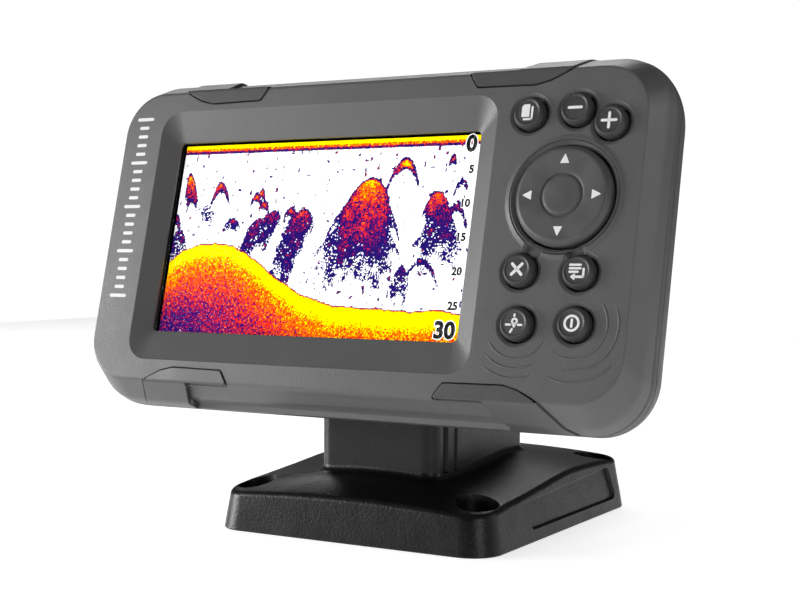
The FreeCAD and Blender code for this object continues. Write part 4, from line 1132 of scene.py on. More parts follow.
@dataclass
class Keypad:
    """Seven round keys and the four-way pad, each with its printed mark."""
    finishes: Finishes
    face_forward: float = 4.3
    key_radius: float = 4.12
    key_rise: float = 2.0
    pad_radius: float = 12.6
    pad_rise: float = 1.9
    ring_radius: float = 4.95
    ring_width: float = 0.6

    def build(self) -> None:
        """Makes the keys and the pad."""
        for name, strokes in KEY_ICONS.items():
            x, z = unit_middle(name)
            body = name + "_press" if name + "_press" in frame["bodies"] else name
            top = self.face_forward + self.key_rise
            radius = self.key_radius
            profile = [(radius, 0.3), (radius, top - 1.3), (radius - 0.06, top - 1.1), (radius - 0.2, top - 0.85),
                       (radius - 0.5, top - 0.3), (radius - 0.62, top - 0.1), (radius - 0.8, top),
                       (radius - 1.0, top - 0.05), (radius - 1.15, top - 0.16), (radius - 1.5, top - 0.2)]
            cap = lathe(profile, x, z, parts=72)
            Part(body, "key_rubber", (name,)).add(cap, name + "_cap", self.finishes.key, UNIT, 50.0)
            Part(body, "key_rubber").add(
                strokes.build(x, z, top - 0.2), name + "_icon", self.finishes.mark, UNIT)
        self.pad()

    def pad(self) -> None:
        """Makes the pad: a broad dished ring round a middle disc set off by a groove."""
        x, z = unit_middle("pad_cap")
        top = self.face_forward + self.pad_rise
        outer, groove = self.pad_radius, self.ring_radius
        rim = [(outer, 0.0), (outer, top - 1.5), (outer - 0.08, top - 1.25), (outer - 0.3, top - 0.95),
               (outer - 0.95, top - 0.22), (outer - 1.15, top - 0.06), (outer - 1.45, top),
               (outer - 1.8, top - 0.02)]
        dish = [(r, top - 0.02 - 0.16 * (outer - 1.8 - r) / 5.6) for r in
                [outer - 1.8 - k * 0.7 for k in range(1, 8)]]
        edge = groove + self.ring_width
        middle = [(edge + 0.12, top - 0.2), (edge, top - 0.26), (edge - 0.04, top - 0.5),
                  (groove + 0.04, top - 0.5), (groove, top - 0.24), (groove - 0.12, top - 0.18),
                  (groove - 1.0, top - 0.17), (groove - 3.0, top - 0.2)]
        cap = lathe(rim + dish + middle, x, z, parts=128)
        Part("pad", "key_rubber", ("pad_cap",)).add(cap, "direction_pad", self.finishes.pad, UNIT, 50.0)
        tip = softened([(-1.15, -1.2), (1.35, 0.0), (-1.15, 1.2)], 0.1, 3)
        arrow = prism(tip, 0.0, 0.28, upright)
        arrows = Repeater(Layout.RING, 4, 9.0).build(arrow, self.finishes.mark)
        arrows.data.transform(facing(x, top - 0.32, z, 1))
        Part("pad", "key_rubber").add(arrows, "pad_arrows", self.finishes.mark, UNIT)


# ---------------------------------------------------------------- screen

@dataclass(frozen=True)
class Echo:
    """One return on the sonar picture, in shares of the picture's width and height.

    A hump is an arch whose legs fall away to both sides; fill says how far its inside is lit.
    """
    across: float
    up: float
    half_width: float
    drop: float
    strength: float
    fill: float = 0.0
    lean: float = 0.0

    def at(self, u: float, v: float) -> float:
        """Strength at a place of the picture."""
        a = (u - self.across - self.lean * (self.up - v)) / self.half_width
        if abs(a) > 1.15:
            return 0.0
        crest = self.up - self.drop * a * a
        below = crest - v
        line = math.exp(-((below - 0.014) / 0.026) ** 2) * (1 - 0.42 * abs(a))
        inside = 0.0
        if self.fill and below > 0:
            inside = max(0.0, 1 - below / self.fill) ** 0.35 * max(0.0, 1 - abs(a) ** 3) ** 0.5
        return self.strength * max(line, inside * 0.93)


ECHOES = (
    Echo(0.03, 0.84, 0.022, 0.1, 1.0, 0.16, 0.12), Echo(0.0, 0.62, 0.02, 0.06, 0.8, 0.05),
    Echo(0.02, 0.54, 0.035, 0.09, 0.6, 0.16), Echo(0.15, 0.79, 0.03, 0.08, 0.98, 0.05, 0.05),
    Echo(0.11, 0.68, 0.03, 0.08, 0.42, 0.12), Echo(0.21, 0.6, 0.03, 0.04, 0.62, 0.06),
    Echo(0.285, 0.73, 0.018, 0.04, 0.9), Echo(0.302, 0.75, 0.012, 0.03, 1.0, 0.02),
    Echo(0.315, 0.69, 0.016, 0.03, 0.85), Echo(0.412, 0.65, 0.02, 0.025, 0.85),
    Echo(0.31, 0.6, 0.03, 0.05, 0.66, 0.26, -0.22), Echo(0.355, 0.64, 0.034, 0.05, 0.64, 0.22, -0.2),
    Echo(0.457, 0.64, 0.036, 0.04, 0.84, 0.06, -0.1), Echo(0.457, 0.63, 0.046, 0.05, 0.66, 0.42, -0.17),
    Echo(0.67, 0.79, 0.06, 0.08, 1.1, 0.2, -0.02), Echo(0.665, 0.74, 0.1, 0.16, 0.85, 0.4, -0.02),
    Echo(0.655, 0.62, 0.13, 0.18, 0.58, 0.36, -0.02), Echo(0.772, 0.89, 0.045, 0.1, 0.95),
    Echo(0.775, 0.885, 0.022, 0.03, 1.3, 0.03), Echo(0.885, 0.72, 0.04, 0.08, 0.92, 0.14, 0.04),
    Echo(0.9, 0.64, 0.065, 0.16, 0.6, 0.26, 0.03), Echo(0.955, 0.79, 0.026, 0.09, 0.66),
    Echo(0.918, 0.9, 0.01, 0.02, 0.85), Echo(0.86, 0.4, 0.05, 0.1, 0.6), Echo(0.945, 0.66, 0.035, 0.08, 0.75),
    Echo(0.88, 0.55, 0.05, 0.08, 0.62), Echo(0.8, 0.36, 0.03, 0.1, 0.5, 0.2),
)

# Height of the sea bed across the picture
BED = ((0.0, 0.375), (0.05, 0.435), (0.1, 0.463), (0.16, 0.47), (0.217, 0.461), (0.26, 0.43), (0.308, 0.386),
       (0.4, 0.284), (0.494, 0.204), (0.6, 0.157), (0.718, 0.15), (0.845, 0.138), (0.922, 0.152), (1.0, 0.132))


@dataclass
class Screen:
    """The lit picture under the window and the depth numbers down its right side."""
    finishes: Finishes
    width: float = 95.04
    height: float = 53.86
    columns: int = 240
    rows: int = 136
    forward: float = -0.66

    def build(self) -> None:
        """Makes the picture and the numbers."""
        self.x, self.z = unit_middle("lcd_panel")
        self.picture()
        sizes = {0: 6.0, 30: 6.0}
        black = []
        white = []
        for number in range(0, 35, 5):
            size = sizes.get(number, 2.9)
            up = (0.955, 0.83, 0.665, 0.5, 0.335, 0.17, 0.052)[number // 5]
            for found, fatter, level in ((white, 0.085, 0.03), (black, 0.045, 0.05)):
                found.append(self.number(str(number), size, up, fatter, level))
        Part("display", "panel_glass").add(joined(white), "number_halos", self.finishes.halo, UNIT, 0)
        Part("display", "panel_glass").add(joined(black), "depth_numbers", self.finishes.ink, UNIT, 0)

    @staticmethod
    def bed(u: float) -> float:
        """Height of the sea bed at a place across."""
        for (a, low), (b, high) in zip(BED, BED[1:]):
            if u <= b:
                t = (u - a) / (b - a)
                return low + (high - low) * t * t * (3 - 2 * t) * 0.4 + (high - low) * t * 0.6
        return BED[-1][1]

    def strength(self, u: float, v: float) -> float:
        """Echo strength at a place of the picture, from 0, clear water, to above 1."""
        if v > 0.955:
            return 1.4 if v > 0.982 else (0.95 if v > 0.97 else 0.58)
        rough = noise.fractal(Vector((u * 34, v * 19, 3.0)), 0.8, 2.0, 3)
        bed = self.bed(u) + 0.004 * noise.noise(Vector((u * 60, 0.0, 7.0)))
        if v < bed:
            depth = bed - v
            if depth < 0.006:
                return 0.78
            under = depth - 0.03 - 0.022 * min(1.0, max(0.0, (u - 0.3) / 0.3))
            hard = 1.38 - sum(fall * min(1.0, max(0.0, (under - start) / run))
                              for start, run, fall in ((0.0, 0.06, 0.36), (0.06, 0.1, 0.16), (0.16, 0.16, 0.16)))
            core = 0.16 * math.exp(-((u - 0.06) / 0.13) ** 2) * max(0.0, 1 - v / 0.24)
            return hard - core
        best = 0.0
        for echo in ECHOES:
            best = max(best, echo.at(u, v))
        if best > 0.02:
            best = best + 0.16 * rough
        cloud = noise.fractal(Vector((u * 9, v * 7, 11.0)), 1.0, 2.0, 3)
        scatter = 0.04 + 0.1 * cloud
        if u > 0.5:
            scatter += 0.12 * max(0.0, 1 - abs(v - 0.32) / 0.25)
        if u < 0.15 and 0.47 < v < 0.7:
            scatter += 0.1
        if noise.noise(Vector((u * 75, v * 42, 5.0))) > 0.5:
            scatter = 0.6
        return max(best, scatter)

    def picture(self) -> None:
        """Makes the picture's sheet, with the echo strength at each point."""
        bm = bmesh.new()
        grid = [[bm.verts.new(at(self.x + (c / self.columns - 0.5) * self.width, self.forward,
                                 self.z + (r / self.rows - 0.5) * self.height))
                 for c in range(self.columns + 1)] for r in range(self.rows + 1)]
        uv = bm.loops.layers.uv.new("picture")
        for r in range(self.rows):
            for c in range(self.columns):
                face = bm.faces.new((grid[r][c], grid[r][c + 1], grid[r + 1][c + 1], grid[r + 1][c]))
                for corner, (a, b) in zip(face.loops, ((c, r), (c + 1, r), (c + 1, r + 1), (c, r + 1))):
                    corner[uv].uv = (a / self.columns, b / self.rows)
        mesh = bpy.data.meshes.new("picture")
        bm.to_mesh(mesh)
        bm.free()
        values = [self.strength(c / self.columns, r / self.rows)
                  for r in range(self.rows + 1) for c in range(self.columns + 1)]
        mesh.attributes.new("echo", "FLOAT", "POINT").data.foreach_set("value", values)
        sheet = bpy.data.objects.new("picture", mesh)
        bpy.context.scene.collection.objects.link(sheet)
        Part("display", "panel_glass").add(sheet, "sonar_picture", self.finishes.sonar, UNIT, 0)

    def number(self, text: str, size: float, up: float, fatter: float, level: float) -> bpy.types.Object:
        """One number, right-aligned on the picture, as a thin solid."""
        curve = bpy.data.curves.new("number", "FONT")
        curve.body = text
        curve.size = size
        curve.align_x = "RIGHT"
        curve.align_y = "CENTER"
        curve.offset = fatter * size
        curve.extrude = 0.01
        curve.resolution_u = 3
        drawn = bpy.data.objects.new("number", curve)
        bpy.context.scene.collection.objects.link(drawn)
        bpy.context.view_layer.update()
        mesh = bpy.data.meshes.new_from_object(drawn.evaluated_get(bpy.context.evaluated_depsgraph_get()))
        bpy.data.objects.remove(drawn)
        place = at(self.x + self.width / 2 - 1.4, self.forward + level, self.z + (up - 0.5) * self.height)
        mesh.transform(Matrix.Translation(place) @ Matrix.Rotation(math.pi / 2, 4, "X"))
        made = bpy.data.objects.new("number", mesh)
        bpy.context.scene.collection.objects.link(made)
        return made


def joined(pieces: Sequence[bpy.types.Object]) -> bpy.types.Object:
    """Puts several meshes in one object."""
    bm = bmesh.new()
    for piece in pieces:
        bm.from_mesh(piece.data)
        bpy.data.objects.remove(piece)
    bmesh.ops.remove_doubles(bm, verts=bm.verts, dist=1e-6)
    mesh = bpy.data.meshes.new("joined")
    bm.to_mesh(mesh)
    bm.free()
    made = bpy.data.objects.new("joined", mesh)
    bpy.context.scene.collection.objects.link(made)
    return made


# ---------------------------------------------------------------- rear of the unit

@dataclass
class RearCase:
    """Rear moulding, its screws, the power and sonar socket, and the vent."""
    finishes: Finishes
    start: float = 8.25
    case_back: float = 30.5
    rear_round: float = 13.0
    corner: float = 13.5
    channel_half: float = 19.5
    channel_floor: float = 12.0
    wide_start: float = 16.4
    ceiling: float = -1.7
    screw_seat: float = 13.0
    screw_head: float = 2.8

    def __post_init__(self) -> None:
        """Takes the overall size from the case's own node."""
        low, high = unit_box("rear_case")
        self.width, self.height = high.x - low.x, high.z - low.z

    def outer(self) -> bpy.types.Object:
        """The case's outer body, rounding to a flat back whose edge is eased."""
        depth = self.case_back - self.start
        loops = [front_loop(rounded(self.width - 0.5, self.height - 0.5, self.corner, 20), -self.start)]
        # A fine parting groove runs round the sides, a few millimetres behind the front edge.
        groove = ((3.2, 0.0), (3.25, 0.28), (3.6, 0.28), (3.65, 0.0))
        stations = [(math.sin(math.pi / 2 * (k - 0.5) / 21.5) * depth, 0.0) for k in range(1, 22)]
        for back, inset in sorted([(b, i) for b, i in stations if not 3.0 < b < 3.8] + list(groove)):
            grow = self.rear_round * (1 - math.sqrt(1 - (back / depth) ** 2)) + inset
            loops.append(front_loop(rounded(self.width - 2 * grow, self.height - 2 * grow, self.corner, 20),
                                    -(self.start + back)))
        grow = self.rear_round + 0.25
        loops.append(front_loop(rounded(self.width - 2 * grow, self.height - 2 * grow, self.corner - 0.25, 20),
                                -self.case_back))
        return skin(loops)

    def build(self) -> None:
        """Makes the case and what is set in it."""
        case = self.outer()
        box = lambda x, y, z: prism([(x[0], z[0]), (x[1], z[0]), (x[1], z[1]), (x[0], z[1])], -y[0], -y[1],
                                    lambda a, b, level: at(a, level, b))
        cuts = [box((-15.3, 15.3), (self.channel_floor, 18), (-60, self.ceiling)),
                box((-18.3, 18.3), (12.75, 14.95), (-60, self.ceiling)),
                box((-self.channel_half, self.channel_half), (self.wide_start, 60), (-60, self.ceiling)),
                box((-2.25, 2.25), (self.channel_floor - 1.6, 13), (-40.25, -5.75))]
        carve(case, Join.CUT, *cuts)
        _, high = unit_box("case_screws")
        screw_x, screw_z = high.x - self.screw_head, high.z - self.screw_head
        wells = [lathe([(4.0, -60), (self.screw_head + 0.4, -29.0), (self.screw_head + 0.4, -self.screw_seat)],
                       sx * screw_x, sz * screw_z, parts=40) for sx in (-1, 1) for sz in (-1, 1)]
        socket_x, socket_z = unit_middle("socket_collar")
        vent_x, vent_z = unit_middle("vent_plug")
        wells.append(lathe([(7.4, -60), (7.4, -26)], socket_x, socket_z))
        wells.append(lathe([(2.0, -60), (2.0, -26)], vent_x, vent_z, parts=32))
        carve(case, Join.CUT, *wells)
        carve(case, Join.CUT, *self.grip_lines())
        Part("display", "rear_housing", ("rear_case",)).add(
            case, "rear_shell", self.finishes.rear, UNIT, 24.0)
        self.screws(screw_x, screw_z)
        self.socket(socket_x, socket_z)
        self.vent(vent_x, vent_z)

    def grip_lines(self) -> list[bpy.types.Object]:
        """Cutters for the shallow frame line on the flat back."""
        back = self.case_back
        outline = rounded(self.width - 32, self.height - 32, 7.0, 10)
        inner = rounded(self.width - 33.4, self.height - 33.4, 6.3, 10)
        ring = prism(outline, -back + 0.45, -back - 1, lambda a, b, level: at(a, level, b))
        return [carve(ring, Join.CUT, prism(inner, -back + 2, -back - 2, lambda a, b, level: at(a, level, b)))]

    def screws(self, x: float, z: float) -> None:
        """Makes the four screw heads in their wells."""
        turns = lambda count: [(math.cos(2 * math.pi * k / count), math.sin(2 * math.pi * k / count))
                               for k in range(count)]
        radius = self.screw_head
        loops = [[Vector((r * a, r * b, level)) for a, b in turns(36)]
                 for r, level in ((1.25, -2.4), (1.25, 0.0), (radius, 0.0), (radius, 1.4), (radius - 0.15, 1.75),
                                  (radius - 0.5, 2.0))]
        head = skin(loops)
        hexagon = skin([[Vector((1.3 * a, 1.3 * b, level)) for a, b in turns(6)] for level in (0.8, 3.0)])
        heads = Repeater(Layout.GRID, 4, 2 * x, 2 * z).build(carve(head, Join.CUT, hexagon), self.finishes.steel)
        heads.data.transform(facing(0, -self.screw_seat, 0, -1))
        Part("display", "steel", ("case_screws",)).add(heads, "case_screw_heads", self.finishes.steel, UNIT)

    def socket(self, x: float, z: float) -> None:
        """Makes the threaded collar and the contact pins in it."""
        _, high = unit_box("socket_collar")
        back, outer, flange = -high.y, 9.0, 12.0
        profile = [(flange, -self.case_back), (flange, -self.case_back - 1.6), (flange - 0.4, -self.case_back - 2.0),
                   (outer - 0.3, -self.case_back - 2.0)]
        for turn in range(3):
            level = -self.case_back - 2.9 - turn * 1.7
            profile += [(outer - 0.55, level), (outer, level - 0.35), (outer, level - 0.75),
                        (outer - 0.55, level - 1.1)]
        profile += [(outer - 0.3, back + 0.35), (outer - 0.6, back), (7.6, back), (7.4, back + 0.2),
                    (7.4, -self.case_back)]
        turns = [2 * math.pi * k / 72 for k in range(72)]
        bm = bmesh.new()
        rows = [[bm.verts.new(at(x + r * math.cos(t), f, z + r * math.sin(t))) for t in turns] for r, f in profile]
        for row, following in zip(rows, rows[1:] + rows[:1]):
            Strokes.wall(bm, row, following)
        Part("display", "rear_housing", ("socket_collar",)).add(
            solid(bm, "tool"), "socket_ring", self.finishes.rear, UNIT, 30.0)
        turns = [2 * math.pi * k / 16 for k in range(16)]
        pin = skin([[Vector((r * math.cos(t), r * math.sin(t), level)) for t in turns]
                    for r, level in ((0.5, -0.2), (0.5, 4.5), (0.42, 4.8), (0.22, 5.0))])
        pins = Repeater(Layout.RING, 5, 5.2, start=math.pi / 2).build(pin, self.finishes.gold)
        pins.data.transform(facing(x, -self.case_back - 3.0, z, -1))
        Part("display", "gold_contact", ("socket_pins",)).add(pins, "contact_pins", self.finishes.gold, UNIT)

    def vent(self, x: float, z: float) -> None:
        """Makes the vent's cap."""
        back = self.case_back
        cap = lathe([(2.0, -back + 2.5), (2.0, -back), (4.2, -back), (4.2, -back - 0.7), (4.0, -back - 1.0),
                     (3.6, -back - 1.2), (2.9, -back - 1.2), (2.7, -back - 0.9), (1.6, -back - 0.9),
                     (1.4, -back - 1.1)], x, z, parts=48)
        Part("display", "seal_rubber", ("vent_plug",)).add(cap, "vent_cap", self.finishes.seal, UNIT, 40.0)


# ---------------------------------------------------------------- stand

@dataclass
class Stand:
    """Drafted base with a crowned top, flowing into a column that is forked at its crest."""
    finishes: Finishes
    corner: float = 8.5
    draft: float = 9.0
    edge: float = 1.5
    foot: float = 2.0
    column_corner: float = 4.0
    column_width: float = 36.4
    column_front: float = -31.6
    column_back: float = 24.0
    crest: float = 15.5
    shoulder: float = 36.0
    hole_x: float = 34.2
    hole_y: float = 37.5
    hole_radius: float = 2.25
    head_recess: float = 5.7
    hole_floor: float = 5.0
    slot_half: float = 8.0
    slot_floor: float = 33.0

    # Heights of the crowned top at its sides and along its middle, from front to back
    SIDE_LINE = ((-48.0, 9.4), (-31.6, 10.4), (-15.8, 12.0), (12.0, 14.2), (48.0, 13.6))
    MIDDLE_LINE = ((-48.0, 10.8), (-31.6, 16.4), (-15.8, 16.8), (12.0, 18.6), (48.0, 16.2))

    def __post_init__(self) -> None:
        """Takes the overall size from the base's own node, and the axle from its joint."""
        low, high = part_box("bracket_base")
        self.width, self.depth = (high.x - low.x) / MM, (high.y - low.y) / MM
        axle = Vector(joint("tilt")["pos_m"]) / MM
        self.pivot_y, self.pivot_z = axle.y, axle.z

    @staticmethod
    def smooth(line: Sequence[Pair], y: float) -> float:
        """Height of a smooth line through stations."""
        y = min(max(y, line[0][0]), line[-1][0])
        slopes = []
        for k in range(len(line)):
            steps = [(line[j + 1][1] - line[j][1]) / (line[j + 1][0] - line[j][0])
                     for j in (k - 1, k) if 0 <= j < len(line) - 1]
            same = len(steps) == 1 or steps[0] * steps[1] > 0
            slopes.append(min(steps, key=abs) * 1.2 if same else 0.0)
        for k, ((a, low), (b, high)) in enumerate(zip(line, line[1:])):
            if y <= b:
                gap, t = b - a, (y - a) / (b - a)
                return (low * (2 * t ** 3 - 3 * t ** 2 + 1) + high * (3 * t ** 2 - 2 * t ** 3)
                        + gap * slopes[k] * (t ** 3 - 2 * t ** 2 + t) + gap * slopes[k + 1] * (t ** 3 - t ** 2))
        return line[-1][1]

    def crown(self, x: float, y: float) -> float:
        """Height of the base's top at a place."""
        side, middle = self.smooth(self.SIDE_LINE, y), self.smooth(self.MIDDLE_LINE, y)
        return middle - (middle - side) * (x / (self.width / 2 + 4)) ** 2

    def outline(self, inset: float) -> list[Pair]:
        """The base's outline drawn in by an inset."""
        return rounded(self.width - 2 * inset, self.depth - 2 * inset, max(2.0, self.corner - inset * 0.6), 12, 14)

    def column_outline(self, grow: float) -> list[Pair]:
        """The column's outline, grown."""
        depth = self.column_back - self.column_front
        middle = (self.column_back + self.column_front) / 2
        points = rounded(self.column_width + 2 * grow, depth + 2 * grow, self.column_corner + grow, 12, 14)
        return [(x, y + middle) for x, y in points]

    def body(self) -> bpy.types.Object:
        """The base and column in one shell, before it is cut."""
        slope = math.tan(math.radians(self.draft))
        flat = lambda inset, z: [Vector((x, y, z)) for x, y in self.outline(inset)]
        loops = [flat(2.0, 2.0), flat(2.0, 0.0), flat(0.3, 0.0), flat(0.09, 0.3)]
        top = [self.crown(x * 0.97, y * 0.97) for x, y in self.outline(0)]
        for share in (0.35, 0.7, 1.0):
            insets = [slope * share * (z - self.edge) for z in top]
            loops.append([Vector((*self.drawn_in(k, inset), share * (z - self.edge)))
                          for k, (inset, z) in enumerate(zip(insets, top))])
        for step in range(1, 7):
            turn = math.pi / 2 * step / 6
            loop = []
            for k, z in enumerate(top):
                inset = slope * (z - self.edge) + self.edge * (1 - math.cos(turn)) * 0.85
                x, y = self.drawn_in(k, inset)
                loop.append(Vector((x, y, self.crown(x, y) - self.edge * (1 - math.sin(turn)))))
            loops.append(loop)
        rim, near = loops[-1], self.column_outline(self.foot)
        for step in range(1, 15):
            t = step / 14
            loop = []
            for start, (a, b) in zip(rim, near):
                x, y = start.x + (a - start.x) * t, start.y + (b - start.y) * t
                loop.append(Vector((x, y, self.crown(x, y))))
            loops.append(loop)
        for step in range(1, 7):
            turn = math.pi / 2 * step / 6
            loops.append([Vector((x, y, self.crown(x, y) + self.foot * (1 - math.cos(turn))))
                          for x, y in self.column_outline(self.foot * (1 - math.sin(turn)))])
        for z in (30.0, 80.0):
            loops.append([Vector((x, y, z)) for x, y in self.column_outline(0)])
        return skin(loops)

    def drawn_in(self, k: int, inset: float) -> Pair:
        """Point k of the outline at its own inset."""
        x, y = self.outline_points(round(inset, 1))[k]
        fine_x, fine_y = self.outline_points(round(inset, 1) + 0.1)[k]
        share = (inset - round(inset, 1)) / 0.1
        return x + (fine_x - x) * share, y + (fine_y - y) * share

    def outline_points(self, inset: float) -> list[Pair]:
        """The outline at a rounded inset, kept once drawn."""
        kept = self.__dict__.setdefault("kept", {})
        key = round(inset, 2)
        if key not in kept:
            kept[key] = self.outline(key)
        return kept[key]

    def build(self) -> None:
        """Makes the stand's moulding and the knob of the release plunger."""
        body = self.body()
        carve(body, Join.CUT, self.above_crest())
        across = lambda outline, low, high: prism(outline, low, high, sideways)
        circle = lambda radius: [(self.pivot_y + radius * math.cos(2 * math.pi * k / 96),
                                  self.pivot_z + radius * math.sin(2 * math.pi * k / 96)) for k in range(96)]
        slot = self.slot_half
        front = self.column_front - 1
        carve(body, Join.CUT,
              across([(front, self.slot_floor), (self.pivot_y, self.slot_floor), (self.pivot_y, 80), (front, 80)],
                     -slot, slot),
              across([(self.pivot_y - 0.5, self.pivot_z), (40, self.pivot_z), (40, 80), (self.pivot_y - 0.5, 80)],
                     -slot, slot),
              across(circle(13.5), -slot, slot), across(circle(3.0), -60, 60),
              across(circle(5.3), self.column_width / 2 - 2.6, 60),
              across(circle(5.3), -60, 2.6 - self.column_width / 2))
        holes = []
        for sx in (-1, 1):
            for sy in (-1, 1):
                x, y = sx * self.hole_x, sy * self.hole_y
                top = self.crown(x, y)
                turns = [2 * math.pi * k / 48 for k in range(48)]
                holes.append(skin([[Vector((x + r * math.cos(t), y + r * math.sin(t), z)) for t in turns]
                                   for r, z in ((self.hole_radius, -1), (self.hole_radius, self.hole_floor),
                                                (self.head_recess, self.hole_floor + 0.001),
                                                (self.head_recess, top + 5))]))
        carve(body, Join.CUT, *holes)
        carve(body, Join.CUT, *self.side_panels(), *self.seams())
        Part("stand", "stand_plastic", ("bracket_base",)).add(
            body, "stand_shell", self.finishes.stand, STAND, 26.0)
        self.plunger()

    def above_crest(self) -> bpy.types.Object:
        """Cutter for everything over the column's crest and rear slope."""
        run, rise = self.column_back - self.pivot_y, self.shoulder - self.pivot_z
        end = math.atan2(rise, run) + math.acos(self.crest / math.hypot(run, rise))
        arc = [(self.pivot_y + self.crest * math.cos(math.pi + (end - math.pi) * k / 40),
                self.pivot_z + self.crest * math.sin(math.pi + (end - math.pi) * k / 40)) for k in range(41)]
        outline = [(self.column_front - 3, self.pivot_z)] + arc + [
            (self.column_back + 0.01, self.shoulder), (self.column_back + 3, self.shoulder),
            (self.column_back + 3, 95), (self.column_front - 3, 95)]
        return prism(outline, -25, 25, sideways)

    def side_panels(self) -> list[bpy.types.Object]:
        """Cutters for the shallow panels in the two side walls."""
        end = self.depth / 2
        corners = [(21 - end, 10.6), (end - 14, 12.8), (end - 11, 4.6), (end - 12.5, 3.3), (28 - end, 3.2)]
        slope = math.tan(math.radians(self.draft))
        made = []
        for side in (-1, 1):
            loops = []
            for shrink, sink in ((-0.5, -0.6), (0.0, 0.02), (0.35, 0.85), (0.7, 0.9)):
                outline = softened(grown(corners, -shrink), 1.6 - shrink, 6)
                loops.append([Vector((side * (self.width / 2 - slope * z - sink), y, z)) for y, z in outline])
            made.append(skin(loops))
        return made

    def seams(self) -> list[bpy.types.Object]:
        """Cutters for the groove down each side of the column."""
        made = []
        for side in (-1, 1):
            x = side * self.column_width / 2
            for behind, half in ((6.6, 1.5), (12.4, 1.0)):
                middle = self.column_front + behind
                outline = [(x + side * 2, middle - half - 0.2), (x, middle - half),
                           (x - side * 0.8, middle - half + 0.35),
                           (x - side * 0.8, middle + half - 0.35), (x, middle + half),
                           (x + side * 2, middle + half + 0.2)]
                made.append(prism(outline, 17.0, 80, upright))
        return made

    def plunger(self) -> None:
        """Makes the release plunger, with grip ridges round its knob."""
        low, high = unit_box("release_plunger")
        x, z = unit_middle("release_plunger")
        back, nose = -high.y, -low.y
        knob = lathe([(1.35, nose), (1.8, nose - 0.25), (1.95, nose - 0.6), (1.95, back + 3.4), (4.5, back + 3.4),
                      (4.7, back + 3.1), (4.7, back + 0.5), (4.4, back + 0.1), (3.9, back), (3.2, back + 0.02),
                      (2.8, back + 0.3), (1.0, back + 0.4)], x, z)
        Part("plunger", "stand_plastic", ("release_plunger",)).add(
            knob, "plunger_knob", self.finishes.component, UNIT, 40.0)
        rib = prism(rounded(0.6, 0.55, 0.2, 3), 0.45, 3.05, upright)
        ribs = Repeater(Layout.RING, 24, 4.7).build(rib, self.finishes.component)
        ribs.data.transform(facing(x, back + 3.5, z, -1))
        Part("plunger", "stand_plastic").add(ribs, "plunger_ridges", self.finishes.component, UNIT)


# ---------------------------------------------------------------- stage

@dataclass
class Softbox:
    """One soft studio light."""
    place: tuple[float, float, float]
    aim: tuple[float, float, float]
    size: Pair
    power: float

    def build(self, name: str) -> None:
        """Hangs the light."""
        lamp = bpy.data.lights.new(name, "AREA")
        lamp.shape = "RECTANGLE"
        lamp.size, lamp.size_y = self.size
        lamp.energy = self.power
        hung = bpy.data.objects.new(name, lamp)
        hung.location = self.place
        hung.rotation_euler = (Vector(self.aim) - Vector(self.place)).to_track_quat("-Z", "Y").to_euler()
        bpy.context.scene.collection.objects.link(hung)


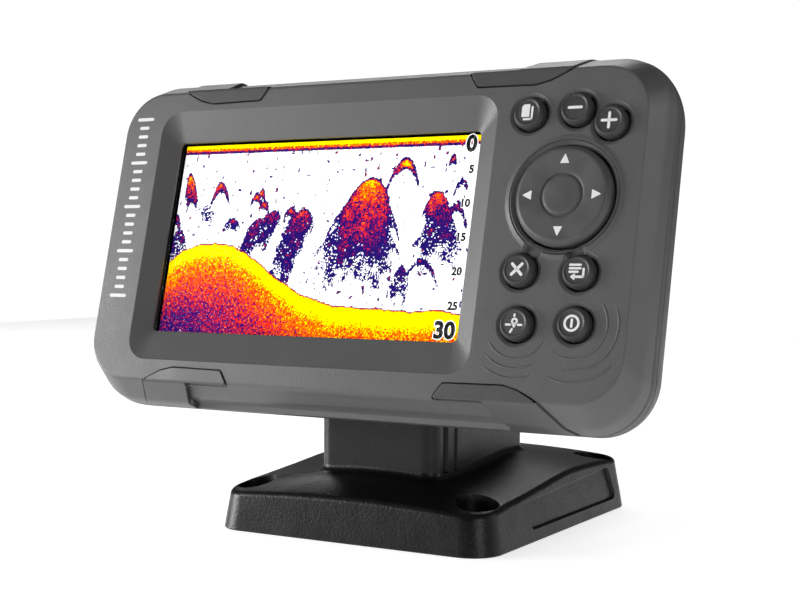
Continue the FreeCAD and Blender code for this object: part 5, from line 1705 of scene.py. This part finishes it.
class Stage:
    """Plain pale floor, soft lights and the camera."""
    LIGHTS = (
        Softbox((-0.92, -0.4, 0.08), (-0.05, -0.05, 0.06), (0.35, 0.4), 9.5),
        Softbox((-0.48, 0.66, 0.74), (0.0, 0.0, 0.12), (0.8, 0.3), 2.6),
        Softbox((0.1, -0.2, 1.0), (0.0, -0.03, 0.08), (0.6, 0.4), 0.8),
        Softbox((0.85, 0.5, 0.36), (0.07, 0.0, 0.1), (0.15, 0.5), 0.8),
        Softbox((-0.78, -0.72, 0.36), (-0.03, -0.03, 0.06), (0.3, 0.25), 2.8),
        Softbox((0.75, -0.5, 0.3), (-0.05, -0.04, 0.08), (0.3, 0.4), 1.3),
    )

    def build(self) -> None:
        """Sets the stage."""
        scene = bpy.context.scene
        scene.view_settings.view_transform = "Standard"
        floor = prism([(-0.9, -0.9), (0.9, -0.9), (0.9, 0.9), (-0.9, 0.9)], -0.02, 0.0, upright)
        floor.name = "floor"
        r = Recipe("pale_floor")
        patch = r.noise(0.4, 2.0)
        pale = r.mix(patch, (0.9, 0.9, 0.9), (0.88, 0.88, 0.88))
        floor.data.materials.append(r.finish(Base_Color=pale, Roughness=0.9, Emission_Color=pale,
                                             Emission_Strength=0.8))
        world = bpy.data.worlds.new("studio")
        scene.world = world
        world.use_nodes = True
        nodes, links = world.node_tree.nodes, world.node_tree.links
        nodes.clear()
        path = nodes.new("ShaderNodeLightPath")
        glow = [nodes.new("ShaderNodeBackground") for _ in range(2)]
        glow[0].inputs["Color"].default_value = (1, 1, 1, 1)
        glow[0].inputs["Strength"].default_value = 0.06
        glow[1].inputs["Color"].default_value = (1, 1, 1, 1)
        glow[1].inputs["Strength"].default_value = 1.05
        mix = nodes.new("ShaderNodeMixShader")
        links.new(path.outputs["Is Camera Ray"], mix.inputs[0])
        links.new(glow[0].outputs[0], mix.inputs[1])
        links.new(glow[1].outputs[0], mix.inputs[2])
        links.new(mix.outputs[0], nodes.new("ShaderNodeOutputWorld").inputs[0])
        for number, light in enumerate(self.LIGHTS):
            light.build(f"softbox_{number}")
        self.camera()

    @staticmethod
    def camera() -> None:
        """Sets up the camera in front, to the right and a little above."""
        lens = bpy.data.cameras.new("camera")
        lens.lens, lens.sensor_width = 65.77, 36.0
        eye = bpy.data.objects.new("camera", lens)
        right, up, ahead = (Vector(v) for v in ((0.8631, 0.505, 0.0024), (-0.0202, 0.0296, 0.9993),
                                                (-0.5046, 0.8626, -0.0357)))
        turn = Matrix((right, up, -ahead)).transposed().to_4x4()
        eye.matrix_world = Matrix.Translation((0.20415, -0.3672, 0.0772)) @ turn
        bpy.context.scene.collection.objects.link(eye)
        bpy.context.scene.camera = eye


def main() -> None:
    """Builds every sub-assembly in order."""
    logging.basicConfig(level=logging.INFO, format="%(name)s: %(message)s")
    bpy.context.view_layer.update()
    Stage().build()
    finishes = Finishes()
    finishes.dress_nodes()
    Stand(finishes).build()
    RearCase(finishes).build()
    Housing(finishes).build()
    Keypad(finishes).build()
    Screen(finishes).build()


if __name__ == "__main__":
    main()
